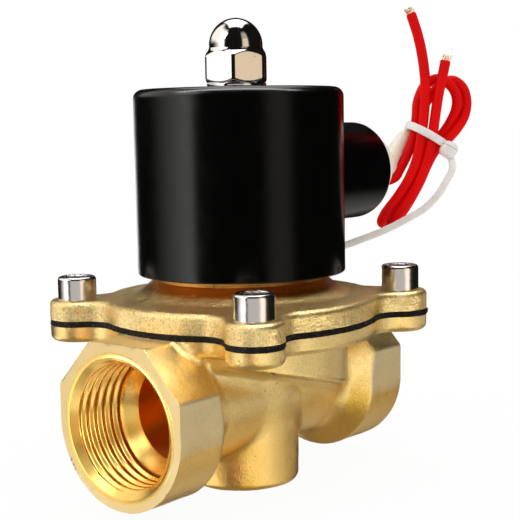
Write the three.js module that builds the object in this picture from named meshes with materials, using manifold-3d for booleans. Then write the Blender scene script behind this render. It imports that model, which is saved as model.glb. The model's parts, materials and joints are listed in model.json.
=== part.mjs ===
// Two-way, normally closed, semi-direct acting diaphragm solenoid valve, G1 ports.
// Brass casting with a clamped rubber diaphragm, a guide tube with a moving plunger, and a round
// steel-cased coil held by an acorn nut. Millimetres, +Z up along the guide tube. X runs along the
// ports: +X is the inlet and the side the leads leave the coil, -X is the outlet. The origin is the
// centre of the flat underside of the bottom boss, on the guide tube's axis.
import * as THREE from 'three';
import { mergeVertices } from 'three/addons/utils/BufferGeometryUtils.js';
import Module from 'manifold-3d';

const wasm = await Module();
wasm.setup();

// ---------------------------------------------------------------- driving dimensions
// heights are above the port axis
const PORT_AXIS_Z = 23.5;         // port axis above the boss underside
const PORT_HALF_LENGTH = 47.5;    // end face to guide tube axis
const COLLAR_R = 42.6 / 2;        // half width of a port collar
const COLLAR_TOP_HALF = 9.57;     // half width of the collar's top flat
const COLLAR_CORNER_Z = 8.9;      // height of the collar's side corners
const OUTLET_COLLAR_X = 31.6;     // inner end of the outlet collar, towards -X
const INLET_COLLAR_X = 32.6;      // inner end of the inlet collar
const THREAD_MAJOR_R = 16.6;      // G1 thread, major 33.25
const THREAD_MINOR_R = 15.15;     // G1 thread, minor 30.29
const THREAD_PITCH = 2.309;
const THREAD_TURNS = 5;
const MOUTH_R = 18.3;
const PASSAGE_R = 12.8;
const PASSAGE_END = 28.5;         // outer end of each passage, from the tube axis
const NECK_R = 14.9;
const BOSS_R = 15.4;
const BOWL_R = 29.4;
const BOWL_FLOOR = 7.1;           // height of the sloping underside on the tube axis
const BOWL_WALL = 4.4;            // chamber floor above the underside, along Z
const BOWL_SLOPE = 0.235;         // the underside drops towards the inlet
const FLANGE_R = 37.4;
const LOBE_R = 7.4;
const LOBE_FILLET = 8;
const BOLT_HALF = 31.5;           // half the bolt square
const FLANGE_BOTTOM = 17.3;
const FLANGE_TOP = 21.5;
const RUBBER_BOTTOM = 21.55;
const RUBBER_TOP = 22.8;
const COVER_BOTTOM = 22.85;
const COVER_LOBE_TOP = 28.3;
const COVER_TOP = 34.1;
const CHAMBER_R = 26.9;
const SEAT_R = 13.5;
const SEAT_BORE_R = 11;
const SEAT_TOP = 16;
const TUBE_R = 8.75;
const TUBE_BORE_R = 8.15;
const PLUNGER_R = 7.85;
const COIL_R = 28.45;
const COIL_BOTTOM = 34.57;
const COIL_TOP = 84.3;
const WINDING_BOTTOM = 39.2;
const WINDING_TOP = 79.3;
const STUD_HOLE_R = 5.35;         // hole in the coil's top for the M10 stud
const SLEEVE_R = 14.5;            // lead outlet sleeve
const SLEEVE_END = 53.3;
const LEAD_AXIS = 60;             // height of the lead outlet
const WIRE_R = 1.4;
const NUT_AF = 16;                // across flats
const NUT_TOP = 102.6;
const REACH = 80;                 // cutting slabs run this far, past every part they cut

// ---------------------------------------------------------------- materials
const material = (settings) => new THREE.MeshStandardMaterial(settings);
const BRASS_CAST = material({ color: 0xc9a45c, roughness: 0.45, metalness: 1 });
const BRASS_TURNED = material({ color: 0xd9b466, roughness: 0.28, metalness: 1 });
const RUBBER = material({ color: 0x17171a, roughness: 0.8, metalness: 0 });
const STAINLESS = material({ color: 0xc4c4c8, roughness: 0.25, metalness: 1 });
const PLATED = material({ color: 0xd8d6d2, roughness: 0.12, metalness: 1 });
const SPRING_STEEL = material({ color: 0xb0b2b6, roughness: 0.3, metalness: 1 });
const YELLOW_METAL = material({ color: 0xb89a4a, roughness: 0.35, metalness: 1 });
const BLACK_PAINT = material({ color: 0x0a0a0b, roughness: 0.22, metalness: 0 });
const NYLON = material({ color: 0xe8e2d2, roughness: 0.5, metalness: 0 });
const COPPER = material({ color: 0xb8683c, roughness: 0.35, metalness: 1 });
const YELLOW_TAPE = material({ color: 0xd8c24a, roughness: 0.5, metalness: 0 });
const RED_SILICONE = material({ color: 0xc40c10, roughness: 0.42, metalness: 0 });
const SILICONE = material({ color: 0xe6e0cc, roughness: 0.4, metalness: 0 });

// ---------------------------------------------------------------- meshes and solids
function indexedGeometry(positions, indices) {
  const geometry = new THREE.BufferGeometry();
  geometry.setAttribute('position', new THREE.BufferAttribute(new Float32Array(positions), 3));
  geometry.setIndex(Array.from(indices));
  return geometry;
}

// welds the vertices, drops collapsed triangles and turns the faces outwards
function clean(geometry, tolerance = 1e-4) {
  const bare = new THREE.BufferGeometry();
  bare.setAttribute('position', geometry.attributes.position);
  bare.setIndex(geometry.index);
  const merged = mergeVertices(bare, tolerance);
  const corner = (i) => new THREE.Vector3().fromBufferAttribute(merged.attributes.position, i);
  const index = merged.index.array;
  const kept = [];
  let volume = 0;
  for (let i = 0; i < index.length; i += 3) {
    const [a, b, c] = index.slice(i, i + 3);
    if (a === b || b === c || a === c) continue;
    kept.push(a, b, c);
    volume += corner(a).dot(corner(b).cross(corner(c)));
  }
  if (volume < 0) {
    for (let i = 0; i < kept.length; i += 3) [kept[i + 1], kept[i + 2]] = [kept[i + 2], kept[i + 1]];
  }
  merged.setIndex(kept);
  return merged;
}

function toSolid(geometry) {
  const cleaned = clean(geometry);
  return new wasm.Manifold(new wasm.Mesh({
    numProp: 3,
    vertProperties: new Float32Array(cleaned.attributes.position.array),
    triVerts: new Uint32Array(cleaned.index.array),
  }));
}

function toGeometry(solid) {
  const mesh = solid.getMesh();
  return clean(indexedGeometry(mesh.vertProperties, mesh.triVerts), 1e-3);
}

const valve = new THREE.Group();
valve.position.z = PORT_AXIS_Z;
const coil = new THREE.Group();

function add(name, shape, surface, parent = valve) {
  const geometry = shape instanceof wasm.Manifold ? toGeometry(shape) : clean(shape);
  geometry.computeVertexNormals();
  const mesh = new THREE.Mesh(geometry, surface);
  mesh.name = name;
  parent.add(mesh);
}

// ---------------------------------------------------------------- shapes
// Every profile is a table of [radius, height] turned about Z. One that does not start and end on
// the axis closes on itself.
function turn(profile, segments) {
  const points = profile.map(([radius, height]) => new THREE.Vector2(radius, height));
  if (profile[0][0] > 0 || profile.at(-1)[0] > 0) points.push(points[0].clone());
  return new THREE.LatheGeometry(points, segments).rotateX(Math.PI / 2);
}

// the same, turned about X; heights become x
function turnX(profile, segments) {
  return turn(profile, segments).rotateY(Math.PI / 2);
}

function rod(radius, z0, z1, segments) {
  return turn([[0, z0], [radius, z0], [radius, z1], [0, z1]], segments);
}

function rodX(radius, x0, x1, segments) {
  return rod(radius, x0, x1, segments).rotateY(Math.PI / 2);
}

function tube(innerR, outerR, z0, z1, segments) {
  return turn([[innerR, z0], [outerR, z0], [outerR, z1], [innerR, z1]], segments);
}

// prism on an outline of [x, y] points, from z0 to z1 with both ends bevelled
function extrude(outline, z0, z1, bevel = 0) {
  const shape = new THREE.Shape(outline.map(([x, y]) => new THREE.Vector2(x, y)));
  return new THREE.ExtrudeGeometry(shape, {
    depth: z1 - z0 - 2 * bevel,
    steps: 1,
    bevelEnabled: bevel > 0,
    bevelThickness: bevel,
    bevelSize: bevel,
    bevelOffset: -bevel,
    bevelSegments: 1,
  }).translate(0, 0, z0 + bevel);
}

function block(x0, x1, y0, y1, z0, z1) {
  return new THREE.BoxGeometry(x1 - x0, y1 - y0, z1 - z0)
    .translate((x0 + x1) / 2, (y0 + y1) / 2, (z0 + z1) / 2);
}

const slab = (z0, z1) => block(-REACH, REACH, -REACH, REACH, z0, z1);

function arc(centreX, centreY, radius, from, to, steps) {
  return Array.from({ length: steps + 1 }, (_, i) => {
    const angle = from + ((to - from) * i) / steps;
    return [centreX + radius * Math.cos(angle), centreY + radius * Math.sin(angle)];
  });
}

function polygon(sides, radius, start = 0, centreX = 0, centreY = 0) {
  return arc(centreX, centreY, radius, start, start + 2 * Math.PI, sides).slice(0, -1);
}

// flange outline: a disc with four bolt lobes on a square, joined by concave fillets
function lobedOutline(discR, lobeR) {
  const toLobe = Math.hypot(BOLT_HALF, BOLT_HALF);
  const toFillet = discR + LOBE_FILLET;
  const lobeToFillet = lobeR + LOBE_FILLET;
  // angles at the disc centre and at the lobe centre of the triangle disc - lobe - fillet
  const atDisc = Math.acos((toFillet ** 2 + toLobe ** 2 - lobeToFillet ** 2) / (2 * toFillet * toLobe));
  const atLobe = Math.acos((lobeToFillet ** 2 + toLobe ** 2 - toFillet ** 2)
    / (2 * lobeToFillet * toLobe));
  const polar = (radius, angle) => [radius * Math.cos(angle), radius * Math.sin(angle)];
  const points = [];
  const addArc = (centre, ...rest) => points.push(...arc(...centre, ...rest).slice(1));
  for (let quarter = 0; quarter < 4; quarter++) {
    const mid = Math.PI / 4 + (quarter * Math.PI) / 2;
    const before = polar(toFillet, mid - atDisc);
    const after = polar(toFillet, mid + atDisc);
    addArc([0, 0], discR, mid - Math.PI / 2 + atDisc, mid - atDisc, 4);
    addArc(before, LOBE_FILLET, mid + Math.PI - atDisc, mid + atLobe, 2);
    addArc(polar(toLobe, mid), lobeR, mid - Math.PI + atLobe, mid + Math.PI - atLobe, 7);
    addArc(after, LOBE_FILLET, mid - atLobe, mid - Math.PI + atDisc, 2);
  }
  return points;
}

const BOLT_POINTS = [[-1, -1], [1, -1], [1, 1], [-1, 1]].map(([x, y]) => [x * BOLT_HALF, y * BOLT_HALF]);

function drillBoltHoles(solid, radius) {
  return BOLT_POINTS.reduce(
    (rest, [x, y]) => rest.subtract(toSolid(rod(radius, 10, 40, 10).translate(x, y, 0))), solid);
}

// a round bar swept along a curve, its radius following radiusAt(0..1)
function sweep(curve, steps, radiusAt, sides) {
  const frames = curve.computeFrenetFrames(steps, false);
  const positions = [];
  const indices = [];
  for (let i = 0; i <= steps; i++) {
    const centre = curve.getPointAt(i / steps);
    for (const [alongNormal, alongBinormal] of polygon(sides, radiusAt(i / steps))) {
      positions.push(...centre.clone().addScaledVector(frames.normals[i], alongNormal)
        .addScaledVector(frames.binormals[i], alongBinormal));
    }
  }
  for (let i = 0; i < steps; i++) {
    for (let j = 0; j < sides; j++) {
      const here = i * sides + j;
      const next = i * sides + ((j + 1) % sides);
      indices.push(here, next, next + sides, here, next + sides, here + sides);
    }
  }
  const end = steps * sides;
  for (let j = 1; j < sides - 1; j++) indices.push(0, j + 1, j, end, end + j, end + j + 1);
  return indexedGeometry(positions, indices);
}

class Helix extends THREE.Curve {
  constructor(radius, z0, z1, turns) {
    super();
    Object.assign(this, { radius, z0, z1, turns });
  }

  getPoint(t, target = new THREE.Vector3()) {
    const angle = t * this.turns * 2 * Math.PI;
    const z = this.z0 + (this.z1 - this.z0) * t;
    return target.set(this.radius * Math.cos(angle), this.radius * Math.sin(angle), z);
  }
}

function spring({ radius, wireR, bottom, top, turns }) {
  const helix = new Helix(radius, bottom + wireR, top - wireR, turns);
  return sweep(helix, Math.round(turns * 8), () => wireR, 4);
}

function curveThrough(points) {
  const vectors = points.map((point) => new THREE.Vector3(...point));
  return new THREE.CatmullRomCurve3(vectors, false, 'centripetal');
}

// a five-sided bar along a curve through points
function bar(points, radius, steps) {
  const section = new THREE.Shape(polygon(5, radius).map(([x, y]) => new THREE.Vector2(x, y)));
  return new THREE.ExtrudeGeometry(section, {
    extrudePath: curveThrough(points),
    steps,
    bevelEnabled: false,
  });
}

// ---------------------------------------------------------------- body casting
// drawn as [y, z]: top and shoulders are flats, the lower half is round
const COLLAR_OUTLINE = [
  [COLLAR_TOP_HALF, COLLAR_R], [-COLLAR_TOP_HALF, COLLAR_R], [-COLLAR_R, COLLAR_CORNER_Z],
  ...arc(0, 0, COLLAR_R, Math.PI, 2 * Math.PI, 16),
  [COLLAR_R, COLLAR_CORNER_Z],
];

// inlet collar, with a conical shoulder on the side towards the valve's centre
function collar(innerX) {
  const startX = innerX - 7;
  const coneX = innerX - 6.6;
  const clearR = 30;   // clear of the collar's corners
  const prism = extrude(COLLAR_OUTLINE, 0, PORT_HALF_LENGTH - startX);
  // Z becomes X, the outline's x becomes Y and its y becomes Z
  prism.applyMatrix4(new THREE.Matrix4().set(
    0, 0, 1, startX,
    1, 0, 0, 0,
    0, 1, 0, 0,
    0, 0, 0, 1,
  ));
  const cone = turnX([
    [0, coneX], [NECK_R - 0.2, coneX], [NECK_R, innerX - 6], [COLLAR_R, innerX],
    [clearR, innerX], [clearR, PORT_HALF_LENGTH], [0, PORT_HALF_LENGTH],
  ], 28);
  return toSolid(prism).intersect(toSolid(cone));
}

// inlet bore at the thread's minor diameter, with the mouth countersink, the runout groove and the
// cone down to the passage
function portBore() {
  const face = PORT_HALF_LENGTH;
  const threadStart = face - 2.4;
  const threadEnd = threadStart - THREAD_TURNS * THREAD_PITCH;
  const grooveR = THREAD_MAJOR_R + 0.2;
  return toSolid(turnX([
    [0, face + 1], [MOUTH_R + 0.4, face + 1], [MOUTH_R, face], [THREAD_MAJOR_R, face - 1.6],
    [THREAD_MINOR_R, threadStart], [THREAD_MINOR_R, threadEnd], [grooveR, threadEnd - 0.8],
    [grooveR, 31.3], [PASSAGE_R, 28], [PASSAGE_R, 27], [0, 27],
  ], 28));
}

const toOutlet = (solid) => solid.mirror([1, 0, 0]);

// everything below a plane that drops towards the inlet; height is taken on the tube axis
function belowSlope(height) {
  return toSolid(slab(-REACH, 0).rotateY(Math.atan(BOWL_SLOPE)).translate(0, 0, height));
}

function bodyOutside() {
  // bevelled on the lower edge only: the upper bevel is trimmed away
  const flange = toSolid(extrude(lobedOutline(FLANGE_R, LOBE_R), FLANGE_BOTTOM, FLANGE_TOP + 4, 0.8))
    .intersect(toSolid(slab(0, FLANGE_TOP)));
  const bowl = toSolid(rod(BOWL_R, -12, FLANGE_TOP - 0.5, 36)).subtract(belowSlope(BOWL_FLOOR));
  const neck = toSolid(rodX(NECK_R, -OUTLET_COLLAR_X, INLET_COLLAR_X, 28));
  const boss = toSolid(turn([
    [0, -PORT_AXIS_Z], [BOSS_R - 2.6, -PORT_AXIS_Z], [BOSS_R - 0.7, -PORT_AXIS_Z + 0.8],
    [BOSS_R, -PORT_AXIS_Z + 2.6], [BOSS_R, 2], [0, 2],
  ], 28));
  return flange.add(bowl).add(neck).add(boss)
    .add(collar(INLET_COLLAR_X))
    .add(toOutlet(collar(OUTLET_COLLAR_X)));
}

function valveBody() {
  const cutTop = 30;   // above the flange
  // ring chamber round the seat, deeper on the inlet side where it meets the inlet passage
  const chamber = toSolid(tube(SEAT_R, CHAMBER_R, -20, cutTop, 28))
    .subtract(belowSlope(BOWL_FLOOR + BOWL_WALL));
  const aboveSeat = toSolid(rod(SEAT_R + 0.5, SEAT_TOP, cutTop, 28));
  const seatBore = toSolid(rod(SEAT_BORE_R, -PASSAGE_R + 2, cutTop, 24));
  const outletPassage = toSolid(turnX([
    [0, -PASSAGE_END], [PASSAGE_R, -PASSAGE_END], [PASSAGE_R, 0], [PASSAGE_R - 3, 3], [0, 3],
  ], 28));
  const inletPassage = toSolid(rodX(PASSAGE_R, 15.5, PASSAGE_END, 28));
  const body = bodyOutside()
    .subtract(chamber)
    .subtract(aboveSeat)
    .subtract(seatBore)
    .subtract(outletPassage)
    .subtract(inletPassage)
    .subtract(portBore())
    .subtract(toOutlet(portBore()));
  return drillBoltHoles(body, 3.15);
}
add('valve_body', valveBody(), BRASS_CAST);

// ---------------------------------------------------------------- cover
function cover() {
  // bevelled on the upper edge only: the lower bevel is trimmed away
  const plate = toSolid(
    extrude(lobedOutline(FLANGE_R, LOBE_R), COVER_BOTTOM - 4, COVER_LOBE_TOP, 0.9),
  ).intersect(toSolid(slab(COVER_BOTTOM, REACH)));
  const dome = toSolid(turn([
    [0, 24], [34.5, 24], [34.5, 28.35], [31, 28.7], [28.8, 29.4], [27.2, 30.4], [24.5, 32.2],
    [23.6, 33.2], [23.6, COVER_TOP], [0, COVER_TOP],
  ], 32));
  const inside = toSolid(turn([
    [0, 20], [CHAMBER_R, 20], [CHAMBER_R, 25], [25.4, 26], [13.4, 26], [13.4, 29.85],
    [12.6, 29.85], [12.6, 31.15], [11.6, 31.15], [11.6, 32.6], [9.25, 32.6], [9.25, 40], [0, 40],
  ], 32));
  return drillBoltHoles(plate.add(dome).subtract(inside), 3.25);
}
add('cover', cover(), BRASS_CAST);

// ---------------------------------------------------------------- diaphragm and the parts on it
function diaphragm() {
  const rim = toSolid(extrude(lobedOutline(FLANGE_R + 0.35, LOBE_R + 0.4), RUBBER_BOTTOM, RUBBER_TOP))
    .subtract(toSolid(rod(26, 0, 40, 28)));
  // upper surface inwards, then lower surface outwards
  const roll = toSolid(turn([
    [26.6, RUBBER_TOP], [24.2, 22.5], [21.8, 20.6], [19.3, 18.9], [16.2, 18.3], [3.2, 18.3],
    [3.2, 16.1], [15.4, 16.1], [18.4, 16.9], [21.2, 19], [23.8, 21.1], [26.6, RUBBER_BOTTOM],
  ], 28));
  return drillBoltHoles(rim.add(roll), 3.3);
}
add('diaphragm', diaphragm(), RUBBER);

// disc with an upstanding cup, grooved inside for the snap ring
add('diaphragm_upper_disc', turn([
  [3.1, 18.35], [13.2, 18.35], [13.2, 19.5], [10.3, 19.5], [10.3, 23.85], [9.3, 23.85],
  [9.3, 23.6], [9.75, 23.6], [9.75, 22.85], [9.3, 22.85], [9.3, 19.5], [3.1, 19.5],
], 24), BRASS_TURNED);

add('diaphragm_lower_disc', turn([
  [3.1, 14.6], [9, 14.6], [9.6, 15.2], [9.6, 16.05], [3.1, 16.05],
], 24), BRASS_TURNED);

// hollow rivet through both discs
add('pilot_seat', turn([
  [1.3, 13], [4.4, 13], [4.4, 14.55], [2.95, 14.55], [2.95, 19.55], [4.3, 19.55], [4.3, 19.9],
  [2.2, 19.9], [1.8, 20.4], [1.3, 20.4],
], 14), BRASS_TURNED);

// split so that it can be sprung in; the plunger's foot lifts the diaphragm by it
function liftSnapRing() {
  const gap = toSolid(block(0, 12, -0.9, 0.9, 20, 26));
  return toSolid(tube(7.2, 9.6, 22.95, 23.5, 28)).subtract(gap);
}
add('lift_snap_ring', liftSnapRing(), SPRING_STEEL);

const DIAPHRAGM_SPRING = { radius: 11.7, wireR: 0.4, bottom: 19.6, top: 28.15, turns: 3.5 };
add('diaphragm_spring', spring(DIAPHRAGM_SPRING), SPRING_STEEL);

// ---------------------------------------------------------------- plunger, guide tube, fixed core
// wide foot below, spring pocket in the top
add('plunger', turn([
  [0, 22.5], [3.3, 22.5], [3.3, 20.6], [8.8, 20.6], [8.8, 21.3], [5.4, 21.3], [5.4, 25.5],
  [6.4, 26.2], [PLUNGER_R, 26.2], [PLUNGER_R, 51], [7.2, 51.6], [3.4, 51.6], [3.4, 41.5], [0, 41.5],
], 20), STAINLESS);

add('plunger_seal', turn([
  [0, 20.45], [2.6, 20.45], [3.1, 20.9], [3.1, 22.3], [0, 22.3],
], 16), RUBBER);

const PLUNGER_SPRING = { radius: 2.75, wireR: 0.38, bottom: 41.6, top: 59.9, turns: 9 };
add('plunger_spring', spring(PLUNGER_SPRING), SPRING_STEEL);

add('guide_tube', turn([
  [TUBE_BORE_R, 29.95], [12.3, 29.95], [12.3, 31.05], [TUBE_R, 31.05], [TUBE_R, 81],
  [TUBE_BORE_R, 81],
], 24), STAINLESS);

const O_RING = { radius: 10.4, height: 31.87, cordR: 0.7 };
add('tube_o_ring', turn(polygon(6, O_RING.cordR, 0, O_RING.radius, O_RING.height), 24), RUBBER);

// ring with two crossed slots in its underside
function tubeRetainingNut() {
  let nut = toSolid(turn([
    [9.1, 28.25], [12.9, 28.25], [13.1, 28.5], [13.1, 29.8], [9.1, 29.8],
  ], 28));
  for (const angle of [Math.PI / 4, (3 * Math.PI) / 4]) {
    nut = nut.subtract(toSolid(block(-16, 16, -1.1, 1.1, 27.8, 28.9).rotateZ(angle)));
  }
  return nut;
}
add('tube_retaining_nut', tubeRetainingNut(), BRASS_TURNED);

// grooved below for the shading ring, with the stud above
add('fixed_core', turn([
  [0, 60.1], [3.4, 60.1], [3.4, 57.4], [5.05, 57.4], [5.05, 58.75], [6.55, 58.75], [6.55, 57.4],
  [7.9, 57.4], [7.9, 81.1], [TUBE_R, 81.1], [TUBE_R, 81.75], [4.85, 81.75], [4.85, 96.4],
  [4.2, 97], [0, 97],
], 20), STAINLESS);

add('shading_ring', tube(5.2, 6.4, 57.45, 58.6, 24), COPPER);

// ---------------------------------------------------------------- coil
valve.add(coil);

// steel case, open below, with a rounded top edge and a round side opening for the leads
function coilCan() {
  const boreR = 26.9;
  const edgeR = 2.6;
  const ceiling = COIL_TOP - 2.4;
  const roundedEdge = [0.4, 0.8, 1.2].map((angle) => [
    COIL_R - edgeR + edgeR * Math.cos(angle),
    COIL_TOP - edgeR + edgeR * Math.sin(angle),
  ]);
  const can = turn([
    [boreR, COIL_BOTTOM], [COIL_R - 0.5, COIL_BOTTOM], [COIL_R, COIL_BOTTOM + 0.8],
    [COIL_R, COIL_TOP - edgeR], ...roundedEdge, [COIL_R - edgeR, COIL_TOP],
    [STUD_HOLE_R, COIL_TOP], [STUD_HOLE_R, ceiling], [boreR, ceiling],
  ], 40);
  const leadHole = rodX(12.6, 20, 34, 24).translate(0, 0, LEAD_AXIS);
  return toSolid(can).subtract(toSolid(leadHole));
}
add('coil_can', coilCan(), BLACK_PAINT, coil);

add('yoke_plate', turn([
  [9.1, 34.2], [26.4, 34.2], [26.65, 34.5], [26.65, 37], [9.1, 37],
], 28), YELLOW_METAL, coil);

add('bobbin', turn([
  [9.3, 37.3], [25.6, 37.3], [25.6, 38.9], [11, 38.9], [11, 79.6], [25.6, 79.6], [25.6, 81.4],
  [9.3, 81.4],
], 24), NYLON, coil);

add('winding', tube(11.25, 23.6, WINDING_BOTTOM, WINDING_TOP, 28), COPPER, coil);
add('winding_tape', tube(23.85, 24.4, WINDING_BOTTOM, WINDING_TOP, 28), YELLOW_TAPE, coil);

// its inner end is cut to the round of the can
function leadOutletSleeve() {
  const boreR = 12.9;
  const sleeve = turnX([
    [boreR, 24], [SLEEVE_R, 24], [SLEEVE_R, SLEEVE_END - 0.6], [SLEEVE_R - 0.5, SLEEVE_END],
    [13.3, SLEEVE_END], [boreR, SLEEVE_END - 0.4],
  ], 28).translate(0, 0, LEAD_AXIS);
  return toSolid(sleeve).subtract(toSolid(rod(COIL_R + 0.15, 30, 90, 40)));
}
add('lead_outlet_sleeve', leadOutletSleeve(), BLACK_PAINT, coil);

add('lead_plug', turnX([
  [0, 42], [12.7, 42], [12.7, SLEEVE_END + 0.15], [13.9, SLEEVE_END + 0.2], [14, SLEEVE_END + 1],
  [13.2, 55.4], [11, 56.7], [7, 57.6], [0, 58],
], 20).translate(0, 0, LEAD_AXIS), SILICONE, coil);

// ---------------------------------------------------------------- leads
// Centre lines as [x, y, z]. Lead A starts at the plug, lead B beyond the end of the lead tube.
// Each loops over, runs down, turns back up and ends in a stripped conductor.
const LEAD_A = [
  [58.5, -1.0, 55.8], [64.5, -2.4, 55.8], [70.3, -4.2, 56.8], [72, -5.31, 59.68],
  [73.74, -6.43, 63.24], [75.41, -7.6, 66.97], [76.63, -8.32, 71.02], [77.21, -8.15, 75.72],
  [77.96, -8.24, 81.04], [79.55, -10.03, 86], [82.29, -12.92, 88.12], [84.88, -15.54, 86.51],
  [86.35, -17.21, 82.72], [86.16, -17.15, 78.33], [85.35, -15.46, 73.64], [83.88, -13.05, 68.63],
  [82.6, -11.06, 64.23], [81.59, -9.65, 60.12], [79.96, -8.05, 54.75], [77.65, -6.12, 48.44],
  [75.43, -4.51, 44.37], [72.36, -3.1, 42.31], [68.65, -2.53, 41.68], [65.47, -3.24, 42.78],
  [65.18, -4.13, 46.36], [67.97, -6.23, 53.14], [70.3, -7.9, 59.31], [72.4, -9.71, 64.87],
  [74.09, -11.21, 69.49], [75.49, -11.99, 74.44], [76.25, -11.71, 80.96], [76.54, -10.63, 88.73],
  [76.68, -9.1, 98.07], [76.32, -6.96, 107.42],
];
const LEAD_B = [
  [79.57, -4.58, 72.89], [81.11, -6.06, 76.66], [83.48, -8.87, 81.98], [85.92, -11.81, 86.17],
  [88.79, -15.22, 88.14], [90.65, -18.13, 85.23], [90.73, -19.73, 80.47], [88.73, -19.82, 75.44],
  [84.93, -18.62, 70.79], [81.74, -17.08, 66.95], [80.16, -14.58, 63.38], [79.14, -12.46, 59.62],
  [77.81, -10.69, 54.6], [75.05, -8.15, 48.67], [72.6, -6.16, 44.32], [70.49, -5.69, 42.5],
  [68.49, -6.14, 42.45], [67.46, -7.16, 43.86], [67.94, -8.19, 45.68], [69.51, -9.48, 48.44],
  [72.57, -11.96, 54.59], [74.3, -12.9, 60.77], [75.57, -13.57, 65.41], [76.94, -14.37, 70.04],
  [78.38, -15.12, 76.23], [79.96, -15.61, 83.97], [81.74, -16.15, 92.64],
];
const LEAD_TUBE = [
  [58.6, -1.6, 61.4], [65.77, -3.45, 61.63], [70.42, -3.36, 64.28], [74.13, -3.57, 66.84],
  [75.9, -3.8, 68.5],
];

// bare conductor carrying on from the last stretch of a lead
function conductor(lead) {
  const [previous, end] = lead.slice(-2).map((point) => new THREE.Vector3(...point));
  const direction = end.clone().sub(previous).normalize();
  const along = (distance) => end.clone().addScaledVector(direction, distance);
  return sweep(new THREE.LineCurve3(along(0.1), along(3)), 1, () => 1.05, 6);
}

add('lead_wire_a', bar(LEAD_A, WIRE_R, 56), RED_SILICONE, coil);
add('lead_wire_b', bar(LEAD_B, WIRE_R, 46), RED_SILICONE, coil);
add('lead_conductor_a', conductor(LEAD_A), COPPER, coil);
add('lead_conductor_b', conductor(LEAD_B), COPPER, coil);
add('lead_tube', sweep(curveThrough(LEAD_TUBE), 12, (t) => 3.3 - 1.7 * t, 8), SILICONE, coil);

// ---------------------------------------------------------------- cable tie
// centre line as [x, y, z], from the head down under the lead outlet
const TIE_TAIL = [
  [77.6, -20.3, 65], [78.24, -22.05, 59.78], [76.89, -21.25, 56.11], [74.08, -19, 51.71],
  [70.23, -15.6, 47.66], [65.39, -11.39, 44.12], [60.25, -7.03, 41.08], [54.89, -3.24, 38.9],
  [49.5, -0.29, 37.2], [45.41, 1.27, 36.4],
];
const TIE = {
  centre: new THREE.Vector3(78.78, -11.4, 69.07),
  longAxis: new THREE.Vector3(0.504756, -0.697921, -0.508103).normalize(),
  shortAxis: new THREE.Vector3(0.7628, 0.6362, -0.1162).normalize(),
  longR: 8.7,
  shortR: 5.6,
  thickness: 1,
  halfWidth: 1.15,
  segments: 24,
};
TIE.normal = new THREE.Vector3().crossVectors(TIE.longAxis, TIE.shortAxis).normalize();

// oval band of rectangular section round the bundle
function tieBand() {
  const { thickness, halfWidth, segments } = TIE;
  const section = [[0, -halfWidth], [thickness, -halfWidth], [thickness, halfWidth], [0, halfWidth]];
  const positions = [];
  const indices = [];
  for (let i = 0; i < segments; i++) {
    const angle = (i / segments) * 2 * Math.PI;
    for (const [outward, across] of section) {
      positions.push(...TIE.centre.clone()
        .addScaledVector(TIE.longAxis, (TIE.longR + outward) * Math.cos(angle))
        .addScaledVector(TIE.shortAxis, (TIE.shortR + outward) * Math.sin(angle))
        .addScaledVector(TIE.normal, across));
    }
    const here = i * 4;
    const next = ((i + 1) % segments) * 4;
    for (let k = 0; k < 4; k++) {
      const k2 = (k + 1) % 4;
      indices.push(here + k, next + k, next + k2, here + k, next + k2, here + k2);
    }
  }
  return indexedGeometry(positions, indices);
}

function cableTie() {
  const head = new THREE.BoxGeometry(4.6, 4.2, 4.8)
    .applyMatrix4(new THREE.Matrix4().makeBasis(TIE.longAxis, TIE.shortAxis, TIE.normal))
    .translate(77.6, -20.2, 65.4);
  return toSolid(tieBand()).add(toSolid(head)).add(toSolid(bar(TIE_TAIL, 0.95, 18)));
}
add('cable_tie', cableTie(), NYLON, coil);

// ---------------------------------------------------------------- fastening
add('top_washer', turn([
  [5.3, 84.45], [7.9, 84.45], [8.05, 84.6], [8.05, 85.5], [7.9, 85.65], [5.3, 85.65],
], 24), PLATED);

function acornNut() {
  const bottom = 85.8;
  const domeR = 7.25;
  const domeBase = 95.6;
  const cornerAngle = -2.516428;   // first corner of the hexagon, radians from +X
  const prism = toSolid(extrude(polygon(6, NUT_AF / Math.sqrt(3), cornerAngle), bottom, 94.6));
  const chamfer = toSolid(turn([
    [0, bottom], [8.1, bottom], [9.3, 86.5], [9.3, 93.4], [7.3, 94.5], [0, 94.5],
  ], 24));
  const domeProfile = [[0, 90], [domeR, 90], [domeR, domeBase]];
  for (let i = 1; i < 5; i++) {
    const angle = (i / 5) * (Math.PI / 2);
    domeProfile.push([domeR * Math.cos(angle), domeBase + (NUT_TOP - domeBase) * Math.sin(angle)]);
  }
  domeProfile.push([0, NUT_TOP]);
  const bore = toSolid(turn([[0, 85], [5.15, 85], [5.15, 97.3], [0, 99.5]], 18));
  return prism.intersect(chamfer).add(toSolid(turn(domeProfile, 24))).subtract(bore);
}
add('acorn_nut', acornNut(), PLATED);

// hexagon socket screw, its socket turned by the given angle
function coverScrew(socketAngle) {
  const screw = toSolid(turn([
    [0, 16.6], [2.5, 16.6], [2.95, 17.1], [2.95, 28.4], [5, 28.4], [5, 34.0], [4.7, 34.4], [0, 34.4],
  ], 16));
  return screw.subtract(toSolid(extrude(polygon(6, 2.89, socketAngle), 31.4, 36)));
}
BOLT_POINTS.forEach(([x, y], i) => {
  add(`cover_screw_${i + 1}`, coverScrew(i * 0.7).translate([x, y, 0]), STAINLESS);
});

export default valve;
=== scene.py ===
"""Brass solenoid valve with a black coil can and two red leads.

The port axis runs along X, inlet towards +X and outlet towards -X. The bowl, cover, coil and
acorn nut stack up along +Z, and the leads come out of the can towards +X.
Shapes are in millimetres with z = 0 on the port axis; make() turns them into the frame's
metres, where z = 0 is the underside of the boss. Shaders and lights work in metres.
"""
import json
import math
from functools import reduce

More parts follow.
